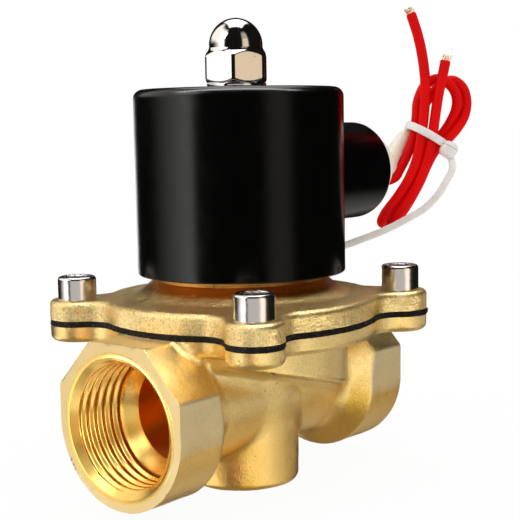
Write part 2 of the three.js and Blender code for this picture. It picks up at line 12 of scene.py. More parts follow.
import bpy
import numpy as np
from mathutils import Matrix, Vector

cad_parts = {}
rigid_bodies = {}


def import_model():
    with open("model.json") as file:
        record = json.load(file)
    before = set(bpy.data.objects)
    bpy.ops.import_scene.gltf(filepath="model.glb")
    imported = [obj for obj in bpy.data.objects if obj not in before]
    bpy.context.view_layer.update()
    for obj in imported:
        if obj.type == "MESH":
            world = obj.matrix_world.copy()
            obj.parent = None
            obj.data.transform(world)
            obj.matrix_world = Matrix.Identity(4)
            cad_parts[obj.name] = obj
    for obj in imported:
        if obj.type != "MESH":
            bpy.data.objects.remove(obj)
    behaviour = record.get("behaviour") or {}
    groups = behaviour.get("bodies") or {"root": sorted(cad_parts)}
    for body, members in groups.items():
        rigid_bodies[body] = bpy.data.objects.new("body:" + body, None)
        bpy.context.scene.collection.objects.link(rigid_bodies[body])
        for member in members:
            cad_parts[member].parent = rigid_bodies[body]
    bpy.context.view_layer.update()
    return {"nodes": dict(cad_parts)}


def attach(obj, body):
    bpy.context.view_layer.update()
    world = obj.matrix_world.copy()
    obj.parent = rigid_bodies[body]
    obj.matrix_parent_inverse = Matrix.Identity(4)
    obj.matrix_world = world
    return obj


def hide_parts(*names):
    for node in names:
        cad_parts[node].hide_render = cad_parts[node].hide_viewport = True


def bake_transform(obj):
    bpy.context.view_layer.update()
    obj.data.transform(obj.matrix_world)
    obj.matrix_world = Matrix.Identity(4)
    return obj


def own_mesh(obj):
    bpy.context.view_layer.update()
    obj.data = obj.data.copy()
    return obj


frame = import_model()

PORT_AXIS_Z = 23.5      # height of the port axis above the boss underside
PORT_FACE_X = 47.5      # the port faces lie at x = +-this
PASSAGE_R = 12.8        # passages behind the ports
BOLT = 31.5             # the four screw axes lie at x, y = +-this
DISC_R = 37.4           # flange outline: a disc
LOBE_R = 7.4            # with a lobe round each screw
LOBE_FILLET = 8.0       # and concave arcs between them
CHAMBER_R = 26.9        # round chamber in body and cover
FLOOR_SLOPE = 0.235     # fall of the bowl and chamber floor along +X
LEAD_Z = 60.0           # axis of the round lead outlet
CAN_R = 28.45
CAN_TOP = 84.3


# ------------------------------------------------------------------ meshes
def make(name, verts, faces, material, normals=None, sharp=None):
    """An object from millimetre vertices. faces: an index array, or a list when sizes are mixed.

    Shading follows corner normals, or else is smooth up to the angle sharp (degrees).
    """
    mesh = bpy.data.meshes.new(name)
    verts = (np.asarray(verts, float) + (0, 0, PORT_AXIS_Z)) / 1000.0
    if isinstance(faces, np.ndarray):
        count, corners = faces.shape
        mesh.vertices.add(len(verts))
        mesh.vertices.foreach_set("co", verts.astype(np.float32).ravel())
        mesh.loops.add(count * corners)
        mesh.loops.foreach_set("vertex_index", faces.astype(np.int32).ravel())
        mesh.polygons.add(count)
        starts = np.arange(0, count * corners, corners, dtype=np.int32)
        mesh.polygons.foreach_set("loop_start", starts)
        mesh.update(calc_edges=True)
    else:
        mesh.from_pydata([tuple(v) for v in verts], [], faces)
    mesh.validate()
    mesh.update()
    mesh.polygons.foreach_set("use_smooth", np.ones(len(mesh.polygons), bool))
    if sharp is not None:
        mesh.set_sharp_from_angle(angle=math.radians(sharp))
    elif len(normals) == len(mesh.loops):       # validate() may have dropped a broken face
        mesh.normals_split_custom_set([tuple(n) for n in normals])
    obj = bpy.data.objects.new(name, mesh)
    bpy.context.scene.collection.objects.link(obj)
    mesh.materials.append(material)
    return obj


def register(obj, carrier, replaces=None):
    if carrier:
        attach(obj, carrier)
    if replaces:
        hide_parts(replaces)


def full_turn(count):
    return np.linspace(0, 2 * np.pi, count, endpoint=False)


def circle(radius, count):
    turn = full_turn(count)
    return np.stack([radius * np.cos(turn), radius * np.sin(turn)], 1)


def ring_about_x(x, radius, turn, z=0.0):
    x = np.broadcast_to(x, turn.shape)
    return np.stack([x, radius * np.cos(turn), radius * np.sin(turn) + z], 1)


def ring_about_z(z, radius, turn):
    z = np.broadcast_to(z, turn.shape)
    return np.stack([radius * np.cos(turn), radius * np.sin(turn), z], 1)


def grid_faces(rows, columns, closed=True):
    """Quads between rings of vertices; closed also joins the last ring to the first."""
    row, column = np.meshgrid(np.arange(rows if closed else rows - 1), np.arange(columns),
                              indexing="ij")
    this, following = row * columns, (row + 1) % rows * columns
    beside = (column + 1) % columns
    quads = [this + column, this + beside, following + beside, following + column]
    return np.stack(quads, -1).reshape(-1, 4)


def ring_mesh(name, rows, material, sharp, order=(0, 1, 2, 3)):
    """A closed band of rings; order is the order of each quad's corners."""
    faces = grid_faces(len(rows), len(rows[0]))[:, list(order)]
    return make(name, np.concatenate(rows), faces, material, sharp=sharp)


def lathe(name, profile, segments, material):
    """A closed (radius, z) profile, listed anticlockwise, turned about Z."""
    turn = full_turn(segments)
    verts = np.concatenate([ring_about_z(z, radius, turn) for radius, z in profile])
    return make(name, verts, grid_faces(len(profile), segments).tolist(), material, sharp=50)


def catmull(points, samples):
    """Centripetal Catmull-Rom curve through points, with that many samples per span."""
    points = np.array(points, float)
    curve = []
    for i in range(len(points) - 1):
        p1, p2 = points[i], points[i + 1]
        p0 = points[i - 1] if i else 2 * p1 - p2
        p3 = points[i + 2] if i + 2 < len(points) else 2 * p2 - p1
        pairs = ((p0, p1), (p1, p2), (p2, p3))
        d0, d1, d2 = [max(np.linalg.norm(b - a) ** 0.5, 1e-4) for a, b in pairs]
        out = ((p1 - p0) / d0 - (p2 - p0) / (d0 + d1) + (p2 - p1) / d1) * d1
        into = ((p2 - p1) / d1 - (p3 - p1) / (d1 + d2) + (p3 - p2) / d2) * d1
        for t in np.linspace(0, 1, samples, endpoint=False):
            curve.append(p1 + out * t + (-3 * p1 + 3 * p2 - 2 * out - into) * t * t
                         + (2 * p1 - 2 * p2 + out + into) * t ** 3)
    curve.append(points[-1])
    return np.array(curve)


def transport(curve, first=None, closed=False):
    """Two section axes at every curve point, carried along without twist."""
    if closed:
        tangent = np.roll(curve, -1, 0) - np.roll(curve, 1, 0)
    else:
        tangent = np.gradient(curve, axis=0)
    tangent /= np.linalg.norm(tangent, axis=1)[:, None]
    if first is None:
        first = (0, 0, 1) if abs(tangent[0][2]) < 0.9 else (1, 0, 0)
    side = np.array(first, float)
    sides = []
    for direction in tangent:
        side = side - direction * (side @ direction)
        side /= np.linalg.norm(side)
        sides.append(side.copy())
    sides = np.array(sides)
    return sides, np.cross(tangent, sides)


def sweep(name, curve, section, material, closed=False, first=None, sharp=40):
    """section(s) gives the outline's points at the share s (0 to 1) of the curve."""
    side, other = transport(curve, first, closed)
    count = len(curve)
    rows = []
    for k in range(count):
        points = np.array(section(k / (count - 1)), float)
        rows.append(curve[k] + points[:, :1] * side[k] + points[:, 1:] * other[k])
    size = len(rows[0])
    verts = np.concatenate(rows)
    faces = grid_faces(count, size, closed)[:, [1, 2, 3, 0]].tolist()
    if not closed:
        verts = np.vstack([verts, rows[0].mean(0), rows[-1].mean(0)])
        start, end = count * size, count * size + 1
        last = (count - 1) * size
        for j in range(size):
            beside = (j + 1) % size
            faces.append((start, beside, j))
            faces.append((end, last + j, last + beside))
    return make(name, verts, faces, material, sharp=sharp)


# ------------------------------------------------------------------ distance fields
def lumps(seed, low, high, count=14):
    """A smooth noise of about -1..1: waves of length low..high in random directions."""
    random = np.random.default_rng(seed)
    heading = random.normal(size=(count, 3))
    heading /= np.linalg.norm(heading, axis=1)[:, None]
    waves = (heading * (2 * np.pi / random.uniform(low, high, count))[:, None]).astype(np.float32)
    phases = random.uniform(0, 2 * np.pi, count).astype(np.float32)

    def noise(x, y, z):
        total = 0
        for (kx, ky, kz), phase in zip(waves, phases):
            total = total + np.sin(kx * x + ky * y + kz * z + phase)
        return total / (count ** 0.5 * 1.4)

    return noise


def both(*fields):
    return reduce(np.maximum, fields)


def either(*fields):
    return reduce(np.minimum, fields)


def cut(solid, *hollows):
    return np.maximum(solid, -either(*hollows))


def round_either(a, b, fillet):
    return np.maximum(fillet, np.minimum(a, b)) - np.hypot(
        np.maximum(fillet - a, 0), np.maximum(fillet - b, 0))


def round_both(a, b, fillet):
    return np.minimum(-fillet, np.maximum(a, b)) + np.hypot(
        np.maximum(fillet + a, 0), np.maximum(fillet + b, 0))


def slanted(height, slope):
    """True distance to a plane or cone from the height measured along one axis."""
    return height / math.hypot(1, slope)


def bolt_radius(x, y):
    return np.hypot(np.abs(x) - BOLT, np.abs(y) - BOLT)


def outline(x, y, disc, lobe):
    """Flange outline: a disc with four bolt lobes joined by concave arcs."""
    ax, ay = np.abs(x), np.abs(y)
    major, minor = np.maximum(ax, ay), np.minimum(ax, ay)     # fold into one eighth
    plain = np.minimum(np.hypot(major, minor) - disc, np.hypot(major - BOLT, minor - BOLT) - lobe)
    diagonal = math.hypot(BOLT, BOLT)
    to_disc, to_lobe = disc + LOBE_FILLET, lobe + LOBE_FILLET
    angle = math.acos((to_disc * to_disc + diagonal * diagonal - to_lobe * to_lobe)
                      / (2 * to_disc * diagonal))
    arc_x = to_disc * math.cos(math.pi / 4 - angle)
    arc_y = to_disc * math.sin(math.pi / 4 - angle)
    dx, dy = major - arc_x, minor - arc_y
    in_arc = (arc_y * dx - arc_x * dy < 0) & (dx * (BOLT - arc_y) - dy * (BOLT - arc_x) < 0)
    return np.where(in_arc, LOBE_FILLET - np.hypot(dx, dy), plain)


def hex_sides(x, y, turn, half_width):
    """Distances to the three pairs of sides of a hexagonal prism."""
    angles = [turn + k * math.pi / 3 for k in range(3)]
    return [np.abs(x * math.cos(a) + y * math.sin(a)) - half_width for a in angles]


def gradient(field, points, reach=0.03):
    """Unit normals from four samples at the corners of a small tetrahedron."""
    corners = np.array([[1, -1, -1], [-1, -1, 1], [-1, 1, -1], [1, 1, 1]], float)
    total = sum(k * field(*(points + k * reach).T)[:, None] for k in corners)
    return total / np.maximum(np.linalg.norm(total, axis=1), 1e-12)[:, None]


def sample_grid(field, low, count, cell):
    axes = [low[i] + cell * np.arange(count[i]) for i in range(3)]
    values = np.empty(tuple(count), np.float32)
    slab = max(1, int(1.2e6 // (count[1] * count[2])))       # bounds the memory in use
    for i in range(0, count[0], slab):
        grid = np.meshgrid(axes[0][i:i + slab], axes[1], axes[2], indexing="ij")
        values[i:i + slab] = field(*(g.astype(np.float32) for g in grid))
    values[values == 0] = 1e-6
    return values


def edge_crossings(field, values, low, cell, axis):
    """Cuts of the surface with grid edges along axis: the four cells round each, the
    point, and whether the edge starts inside."""
    count = np.array(values.shape)
    inside = values < 0
    here, there = [slice(None)] * 3, [slice(None)] * 3
    here[axis], there[axis] = slice(0, -1), slice(1, None)
    index = np.argwhere(inside[tuple(here)] != inside[tuple(there)])
    index = index[np.all(index > 0, 1) & np.all(index < count - 1, 1)]
    after = index.copy()
    after[:, axis] += 1
    near = values[tuple(index.T)].astype(float)
    far = values[tuple(after.T)].astype(float)
    share = near / (near - far)

    def cut_points():
        points = low + index * cell
        points[:, axis] += share * cell
        return points

    for _ in range(2):                      # refine the cut along its edge
        value = field(*cut_points().T)
        same = np.sign(value) == np.sign(near)
        drop = np.where(same, value - far, near - value)
        drop = np.where(np.abs(drop) < 1e-9, 1, drop)
        share = np.where(same, share + (1 - share) * np.clip(value / drop, 0, 1),
                         share * np.clip(near / drop, 0, 1))
    around = []
    for back_b, back_c in ((-1, -1), (0, -1), (0, 0), (-1, 0)):
        k = index.copy()
        k[:, (axis + 1) % 3] += back_b
        k[:, (axis + 2) % 3] += back_c
        around.append((k[:, 0] * count[1] + k[:, 1]) * count[2] + k[:, 2])
    return np.stack(around, 1), cut_points(), inside[tuple(index.T)]


def fit_vertices(points, normals, owner, count):
    """For each cell, the point that best meets the tangent planes of its cuts."""
    hits = np.bincount(owner, minlength=count).astype(float)
    mean = np.stack([np.bincount(owner, points[:, i], count) for i in range(3)], 1) / hits[:, None]
    offset = (normals * (points - mean[owner])).sum(1)
    matrix = np.empty((count, 3, 3))
    for i in range(3):
        for j in range(3):
            matrix[:, i, j] = np.bincount(owner, normals[:, i] * normals[:, j], count)
    right = np.stack([np.bincount(owner, normals[:, i] * offset, count) for i in range(3)], 1)
    matrix += np.eye(3) * 0.06              # pulls weakly held vertices to the mean
    return mean + np.linalg.solve(matrix, right[:, :, None])[:, :, 0]


def contour(name, field, low, high, cell, material):
    """Dual contouring of a field in mm, negative inside: sharp edges keep their vertices."""
    low, high = np.array(low, float), np.array(high, float)
    count = np.ceil((high - low) / cell).astype(int) + 1
    values = sample_grid(field, low, count, cell)
    found = [edge_crossings(field, values, low, cell, axis) for axis in range(3)]
    cells, points, starts_inside = (np.concatenate(part) for part in zip(*found))
    normals = gradient(field, points)
    ids, quads = np.unique(cells, return_inverse=True)
    quads = quads.reshape(cells.shape)
    verts = fit_vertices(np.repeat(points, 4, 0), np.repeat(normals, 4, 0), quads.ravel(), len(ids))
    index = np.stack([ids // (count[1] * count[2]), ids // count[2] % count[1], ids % count[2]], 1)
    corner = low + index * cell
    verts = np.clip(verts, corner - 0.15 * cell, corner + 1.15 * cell)
    for _ in range(3):                      # settle onto the surface
        push = np.clip(field(*verts.T), -0.4 * cell, 0.4 * cell)
        verts -= push[:, None] * gradient(field, verts)
    quads[starts_inside] = quads[starts_inside][:, ::-1]
    quads = quads[:, ::-1]
    # corner normals: the vertex's own, or one sampled inside the face where an edge is sharp
    at_vertex = gradient(field, verts)[quads]
    near = verts[quads] * 0.62 + verts[quads].mean(1)[:, None] * 0.38
    in_face = gradient(field, near.reshape(-1, 3)).reshape(-1, 4, 3)
    smooth = (at_vertex * in_face).sum(2) > 0.93
    corners = np.where(smooth[..., None], at_vertex, in_face)
    return make(name, verts, quads, material, normals=corners.reshape(-1, 3))


# ------------------------------------------------------------------ shader helpers
class Value:
    """One output of a shader node; arithmetic on it adds Math nodes."""

    def __init__(self, graph, socket):
        self.graph = graph
        self.socket = socket

    def __add__(self, other):
        return self.graph.math("ADD", self, other)

    def __sub__(self, other):
        return self.graph.math("SUBTRACT", self, other)

    def __rsub__(self, other):
        return self.graph.math("SUBTRACT", other, self)

    def __mul__(self, other):
        return self.graph.math("MULTIPLY", self, other)

    def __pow__(self, other):
        return self.graph.math("POWER", self, other)

    def __abs__(self):
        return self.graph.math("ABSOLUTE", self)


class Graph:
    """Builds a node tree; colours are (r, g, b)."""

    def __init__(self, tree, output_kind):
        self.tree = tree
        tree.nodes.clear()
        self.output = tree.nodes.new(output_kind)

    def node(self, kind, inputs=None, output=0, **settings):
        node = self.tree.nodes.new(kind)
        for key, value in settings.items():
            setattr(node, key, value)
        for key, value in (inputs or {}).items():
            socket = node.inputs[key]
            if isinstance(value, Value):
                self.tree.links.new(value.socket, socket)
            elif value is not None:
                socket.default_value = (*value, 1) if socket.type == "RGBA" else value
        return Value(self, node.outputs[output])

    def surface(self, shader):
        self.tree.links.new(shader.socket, self.output.inputs["Surface"])

    def principled(self, inputs):
        self.surface(self.node("ShaderNodeBsdfPrincipled", inputs))

    def math(self, operation, a, b=0.0, clamp=False):
        return self.node("ShaderNodeMath", {0: a, 1: b, 2: 0.0},
                         operation=operation, use_clamp=clamp)

    def vector_math(self, operation, a, b, output=0):
        return self.node("ShaderNodeVectorMath", {0: a, 1: b}, output, operation=operation)

    def dot(self, a, b):
        return self.vector_math("DOT_PRODUCT", a, b, "Value")

    def smooth(self, value, start, end, low=0.0, high=1.0):
        return self.node("ShaderNodeMapRange", {0: value, 1: start, 2: end, 3: low, 4: high},
                         interpolation_type="SMOOTHSTEP")

    def linear(self, value, low=0.0, high=1.0, start=0.3, end=0.7):
        """Map start..end, by default the usual spread of a noise, to low..high."""
        return self.node("ShaderNodeMapRange", {0: value, 1: start, 2: end, 3: low, 4: high})

    def band(self, value, start, end, soft):
        return (self.smooth(value, start - soft, start + soft)
                * self.smooth(value, end - soft, end + soft, 1.0, 0.0))

    def noise(self, vector, scale, detail=2.0, rough=0.5):
        return self.node("ShaderNodeTexNoise", {"Vector": vector, "Scale": scale,
                                                "Detail": detail, "Roughness": rough})

    def mix(self, factor, a, b):
        # sockets 0, 6, 7 and output 2 are the colour set of the Mix node
        return self.node("ShaderNodeMix", {0: factor, 6: a, 7: b}, 2, data_type="RGBA")

    def coords(self):
        return self.node("ShaderNodeTexCoord", output="Object")

    def part(self, vector, axis):
        return self.node("ShaderNodeSeparateXYZ", {0: vector}, axis)

    def bump(self, height, strength, distance, normal=None):
        return self.node("ShaderNodeBump", {"Height": height, "Strength": strength,
                                            "Distance": distance, "Normal": normal})


def new_material(name):
    material = bpy.data.materials.new(name)
    material.use_nodes = True
    return material, Graph(material.node_tree, "ShaderNodeOutputMaterial")


def shade(colour, factor):
    return tuple(factor * c for c in colour)


# ------------------------------------------------------------------ materials
PAINTED_PASSAGE_SHADE = (0.96, 0.42, 0.05)       # painted shade: the deep orange of brass in the passages, where only other brass lights it
PIT_BROWN = (0.20, 0.12, 0.045)


def cast_skin(graph, coords, base, dark, rough, grain):
    """Colour, roughness and bump height of grainy, pitted cast brass, and its broad noise."""
    broad = graph.noise(coords, scale=70.0, detail=3.0, rough=0.55)
    medium = graph.noise(coords, scale=620.0, detail=3.0, rough=0.6)
    fine = graph.noise(coords, scale=2100.0, detail=2.0, rough=0.75)
    pits = graph.smooth(graph.noise(coords, scale=560.0, detail=1.0), start=0.29, end=0.24)
    pits = pits * graph.smooth(broad, start=0.46, end=0.62)
    colour = graph.mix(graph.linear(broad), base, shade(base, 0.92))
    grains = graph.smooth(fine, start=0.56, end=0.34)
    colour = graph.mix(graph.math("MULTIPLY", grains, 0.55 * grain, clamp=True), colour, dark)
    colour = graph.mix(pits * 0.7, colour, PIT_BROWN)
    roughness = (graph.linear(medium, low=rough - 0.05, high=rough + 0.06)
                 + graph.linear(broad, low=-0.03, high=0.03))
    medium_height, fine_height, pit_depth = 0.42, 0.70, 1.0
    height = medium * medium_height + fine * fine_height - pits * pit_depth
    return colour, roughness, height, broad


def cast_finish(graph, colour, roughness, height, grain):
    graph.principled({
        "Base Color": colour, "Metallic": 1.0, "Roughness": roughness,
        "Normal": graph.bump(height, strength=0.60 * grain, distance=0.00022),
        "Specular IOR Level": 0.3})


def body_brass():
    material, graph = new_material("brass_cast_body")
    coords = graph.coords()
    x, y, z = (graph.part(coords, axis) for axis in "XYZ")
    across, along = abs(y), abs(x)
    grain = 0.85
    colour, roughness, height, broad = cast_skin(
        graph, coords, base=(0.93, 0.68, 0.27), dark=(0.60, 0.40, 0.14), rough=0.35, grain=grain)
    # painted shade: the lower half is tinted a redder yellow, for the warm shade under the body
    low = graph.smooth(z, start=0.030, end=0.010)
    colour = graph.mix(low * 0.5, colour, (0.93, 0.54, 0.11))
    # milled flats of the port collars: paler, with fine slanting cutter marks
    flat = (graph.smooth(across, start=0.02085, end=0.02105)
            * graph.smooth(along, start=0.0318, end=0.0324)
            * graph.smooth(z, start=0.0335, end=0.0325))
    mark_pitch = 0.00052
    slant = x * 0.80 + z * 0.60
    waver = graph.noise(coords, scale=300.0) * 3.0
    marks = graph.math("SINE", slant * (2 * math.pi / mark_pitch) + waver)
    fade = flat * graph.smooth(z, start=0.018, end=0.029)
    colour = graph.mix(flat * 0.55, colour, (0.80, 0.68, 0.44))
    mark_strength = fade * graph.smooth(marks, start=0.2, end=1.0) * 0.30
    colour = graph.mix(mark_strength, colour, (0.36, 0.27, 0.13))
    roughness = roughness + flat * 0.05
    # milled top of the collars is smoother
    top = graph.smooth(z, start=0.0449, end=0.04496) * (
        graph.smooth(z, start=0.0454, end=0.0452) * graph.smooth(along, start=0.030, end=0.031))
    roughness = roughness - top * 0.12
    # turned port faces with fine rings
    face = graph.smooth(along, start=0.04740, end=0.04744)
    port_radius = graph.math("SQRT", y * y + (z - PORT_AXIS_Z / 1000) ** 2.0)
    ring_vector = graph.node("ShaderNodeCombineXYZ", {0: port_radius * 5200.0})
    rings = graph.noise(ring_vector, scale=1.0)
    face_colour = graph.mix(graph.linear(broad), (0.84, 0.64, 0.32), (0.76, 0.56, 0.25))
    colour = graph.mix(face, colour, face_colour)
    # passages, with painted shade: deep orange far inside them
    inner = (graph.smooth(port_radius, start=0.0138, end=0.0132)
             * graph.smooth(along, start=0.0300, end=0.0290))
    colour = graph.mix(inner, colour, PAINTED_PASSAGE_SHADE)
    cast = 1.0 - graph.math("ADD", face, inner, clamp=True)
    face_rough, inner_rough, ring_height = 0.34, 0.3, 0.20
    roughness = roughness * cast + (face * face_rough + inner * inner_rough)
    height = height * cast + rings * face * ring_height
    cast_finish(graph, colour, roughness, height, grain)
    return material


def cover_brass():
    material, graph = new_material("brass_cast_cover")
    coords = graph.coords()
    x, y, z = (graph.part(coords, axis) for axis in "XYZ")
    dark = (0.42, 0.27, 0.10)
    grain = 1.25
    colour, roughness, height, _ = cast_skin(
        graph, coords, base=(0.92, 0.69, 0.31), dark=dark, rough=0.38, grain=grain)
    # painted shade: faces turned upwards are darkened towards the dark grain tone
    normal = graph.node("ShaderNodeNewGeometry", output="Normal")
    painted_top_shade = graph.smooth(graph.part(normal, "Z"), start=0.55, end=0.97)
    colour = graph.mix(painted_top_shade * 0.45, colour, dark)
    # painted shade: the cone round the hub, under the can, is tinted dark red-brown; it is also a
    # little smoother
    radius = graph.math("SQRT", x * x + y * y)
    cone = (graph.smooth(radius, start=0.0280, end=0.0252)
            * graph.smooth(z, start=0.0524, end=0.0550))
    colour = graph.mix(cone * 0.78, colour, (0.50, 0.17, 0.015))
    roughness = roughness - cone * 0.06
    cast_finish(graph, colour, roughness, height, grain)
    return material


def turned_brass(name, axis, deep=False):
    """Brass with turning marks along axis; deep paints shade, a deep orange, on the inner ends near
    the middle.
    """
    material, graph = new_material(name)
    base = (0.94, 0.61, 0.165)
    coords = graph.coords()
    along, y = graph.part(coords, axis), graph.part(coords, "Y")
    stretched = graph.node("ShaderNodeCombineXYZ", {0: along * 4200.0, 1: y * 30.0})
    marks = graph.noise(stretched, scale=1.0)
    spots = graph.noise(coords, scale=110.0, detail=3.0, rough=0.6)
    colour = graph.mix(graph.linear(spots, start=0.35), base, shade(base, 0.9))
    if deep:
        # painted shade: deep orange towards the inner ends
        inner = graph.smooth(abs(along), start=0.0288, end=0.0274)
        colour = graph.mix(inner, colour, PAINTED_PASSAGE_SHADE)
    graph.principled({
        "Base Color": colour, "Metallic": 1.0,
        "Roughness": graph.linear(spots, low=0.24 - 0.03, high=0.24 + 0.05),
        "Normal": graph.bump(marks, strength=0.05, distance=0.00006),
        "Specular IOR Level": 0.3})
    return material


def chrome(name, base, rough, wave):
    """Bright metal: wave is the strength of its broad unevenness."""
    material, graph = new_material(name)
    coords = graph.coords()
    broad = graph.noise(coords, scale=190.0)
    fine = graph.noise(coords, scale=1500.0, rough=0.6)
    specks = graph.smooth(graph.noise(coords, scale=900.0, detail=1.0), start=0.27, end=0.22)
    roughness = graph.linear(fine, low=rough - 0.02, high=rough + 0.05, start=0.35)
    normal = graph.bump(broad, strength=wave, distance=0.0002)
    graph.principled({
        "Base Color": graph.mix(specks * 0.6, base, (0.3, 0.24, 0.2)),
        "Metallic": 1.0, "Roughness": roughness + specks * 0.25,
        "Normal": graph.bump(fine, strength=0.05, distance=0.00005, normal=normal)})
    return material


def enamel(name):
    material, graph = new_material(name)
    coords = graph.coords()
    broad = graph.noise(coords, scale=260.0)
    fine = graph.noise(coords, scale=1700.0, rough=0.6)
    dust = graph.smooth(graph.noise(coords, scale=1300.0, detail=0.0), start=0.80, end=0.86)
    normal = graph.bump(broad, strength=0.04, distance=0.0002)
    graph.principled({
        "Base Color": graph.mix(dust * 0.06, (0.0008, 0.0008, 0.0007), (0.03, 0.03, 0.029)),
        "Roughness": graph.linear(broad, low=0.19, high=0.25),
        "Normal": graph.bump(fine, strength=0.02, distance=0.00006, normal=normal),
        "IOR": 1.5, "Specular IOR Level": 0.36})
    return material


def rubber(name):
    material, graph = new_material(name)
    black = (0.0045, 0.004, 0.0036)
    coords = graph.coords()
    grain = graph.noise(coords, scale=900.0, detail=3.0, rough=0.65)
    bits = graph.smooth(graph.noise(coords, scale=2600.0, rough=0.6), start=0.62, end=0.70)
    colour = graph.mix(graph.linear(grain), black, shade(black, 2.4))
    graph.principled({
        "Base Color": graph.mix(bits * 0.5, colour, (0.30, 0.24, 0.15)),
        "Roughness": graph.linear(grain, low=0.55, high=0.8),
        "Normal": graph.bump(grain, strength=0.8, distance=0.0004),
        "Specular IOR Level": 0.25})
    return material


def red_silicone(name):
    material, graph = new_material(name)
    coords = graph.coords()
    fine = graph.noise(coords, scale=420.0)
    tone = graph.linear(graph.noise(coords, scale=90.0))
    graph.principled({
        "Base Color": graph.mix(tone, (0.80, 0.0008, 0.0008), (0.64, 0.0006, 0.0007)),
        "Roughness": graph.linear(fine, low=0.36, high=0.48),
        "Normal": graph.bump(fine, strength=0.10, distance=0.0003),
        "Specular IOR Level": 0.09})
    return material


def milky(name, base, other, rough, scatter, bump=0.2):
    """Translucent plastic between two tones; scatter is its subsurface weight."""
    material, graph = new_material(name)
    coords = graph.coords()
    tone = graph.noise(coords, scale=240.0, detail=3.0, rough=0.55)
    fine = graph.noise(coords, scale=800.0)
    graph.principled({
        "Base Color": graph.mix(graph.linear(tone), base, other),
        "Roughness": graph.linear(fine, low=rough - 0.06, high=rough + 0.08),
        "Normal": graph.bump(fine, strength=bump, distance=0.0002),
        "Subsurface Weight": scatter, "Subsurface Radius": (1.0, 0.85, 0.65),
        "Subsurface Scale": 0.0016})
    return material


def plain_metal(name, base, rough):
    material, graph = new_material(name)
    coords = graph.coords()
    grain = graph.noise(coords, scale=900.0, detail=3.0, rough=0.55)
    tone = graph.linear(graph.noise(coords, scale=120.0))
    graph.principled({
        "Base Color": graph.mix(tone, base, shade(base, 0.82)), "Metallic": 1.0,
        "Roughness": graph.linear(grain, low=rough - 0.05, high=rough + 0.07),
        "Normal": graph.bump(grain, strength=0.08, distance=0.0001)})
    return material


def winding_wire(name):
    material, graph = new_material(name)
    wire_pitch = 0.0005
    z = graph.part(graph.coords(), "Z")
    turns = graph.math("SINE", z * (2 * math.pi / wire_pitch))
    # painted light and shade: each turn bright on its crest and dark in the groove, following the
    # bump
    tone = graph.linear(turns, start=-1, end=1)
    graph.principled({
        "Base Color": graph.mix(tone, (0.40, 0.13, 0.05), (0.80, 0.32, 0.14)),
        "Metallic": 1.0, "Roughness": 0.32,
        "Normal": graph.bump(turns, strength=0.5, distance=0.0001)})
    return material


BODY_BRASS = body_brass()
COVER_BRASS = cover_brass()
# deep=True gives the linings painted shade at their inner ends
PORT_BRASS = turned_brass("brass_turned_port", axis="X", deep=True)
TURNED_BRASS = turned_brass("brass_turned", axis="Z")
NICKEL = chrome("nickel_plate", base=(0.83, 0.82, 0.80), rough=0.07, wave=0.35)
SCREW_STEEL = chrome("screw_stainless", base=(0.82, 0.79, 0.77), rough=0.19, wave=0.8)
BLACK_ENAMEL = enamel("black_enamel")
BLACK_RUBBER = rubber("black_rubber")
RED_SILICONE = red_silicone("red_silicone")
NYLON = milky("nylon_natural", (0.77, 0.73, 0.70), (0.85, 0.82, 0.80), rough=0.36, scatter=0.4)
MILKY_SILICONE = milky("silicone_milky", (0.84, 0.78, 0.64), (0.90, 0.87, 0.80),
                       rough=0.38, scatter=0.5, bump=0.5)
COPPER = plain_metal("copper_strand", (0.97, 0.70, 0.50), rough=0.30)
STEEL = plain_metal("stainless_ground", (0.66, 0.66, 0.67), rough=0.26)
SPRING_WIRE = plain_metal("spring_wire", (0.56, 0.57, 0.60), rough=0.30)
YELLOW_ZINC = plain_metal("yellow_zinc", (0.80, 0.58, 0.24), rough=0.34)
WINDING = winding_wire("enamelled_copper")
TAPE = milky("polyester_tape", (0.70, 0.55, 0.10), (0.80, 0.66, 0.18), rough=0.4, scatter=0.1)
BOBBIN = milky("bobbin_nylon", (0.72, 0.69, 0.60), (0.80, 0.77, 0.70), rough=0.5, scatter=0.2)

# ------------------------------------------------------------------ valve body casting
BODY_TOP_Z = 21.4
FLANGE_BASE_Z = 17.1
BOWL_R, BOWL_TOP_Z = 29.4, 20.5
BOWL_BASE_Z = 7.1           # underside of the bowl on the vertical axis
CHAMBER_FLOOR_Z = 11.5      # floor of the ring chamber on the vertical axis
NECK_R, NECK_END_X = 14.9, 33.5
BOSS_R, BOSS_TOP_Z = 15.4, 6
COLLAR_R = 21.3             # also half the collar's width, and its height
COLLAR_BACK_X = {"outlet": 31.6, "inlet": 32.6}
COLLAR_BACK_SLOPE = 1.0667
SHOULDER = (0.7264, 0.6872, 21.589)     # sloping shoulder: normal in |y| and z, distance
POCKET_R, POCKET_BACK_X = 17.0, 27      # room for the threaded lining
POCKET_CONE = (13.0, 28, 1.212)         # cones: radius, the x it is at, slope
MOUTH_CONE = (18.6, PORT_FACE_X, 1.0625)
MOUTH_BACK_X = 43
SEAT_BORE_R, SEAT_BORE_BASE_Z = 11, -10.8
SEAT_R = 13.5                           # outside of the seat wall
SEAT_TOP_R, SEAT_TOP_Z = 14, 16
OUTLET_WAY_X = (-28.5, 2)
INLET_WAY_X = (15.5, 28.5)
BODY_HOLE_R, BODY_HOLE_BASE_Z = 3.15, 10

body_waves = lumps(3, 7, 16)
pebbles = lumps(5, 2.2, 4.5, 18)


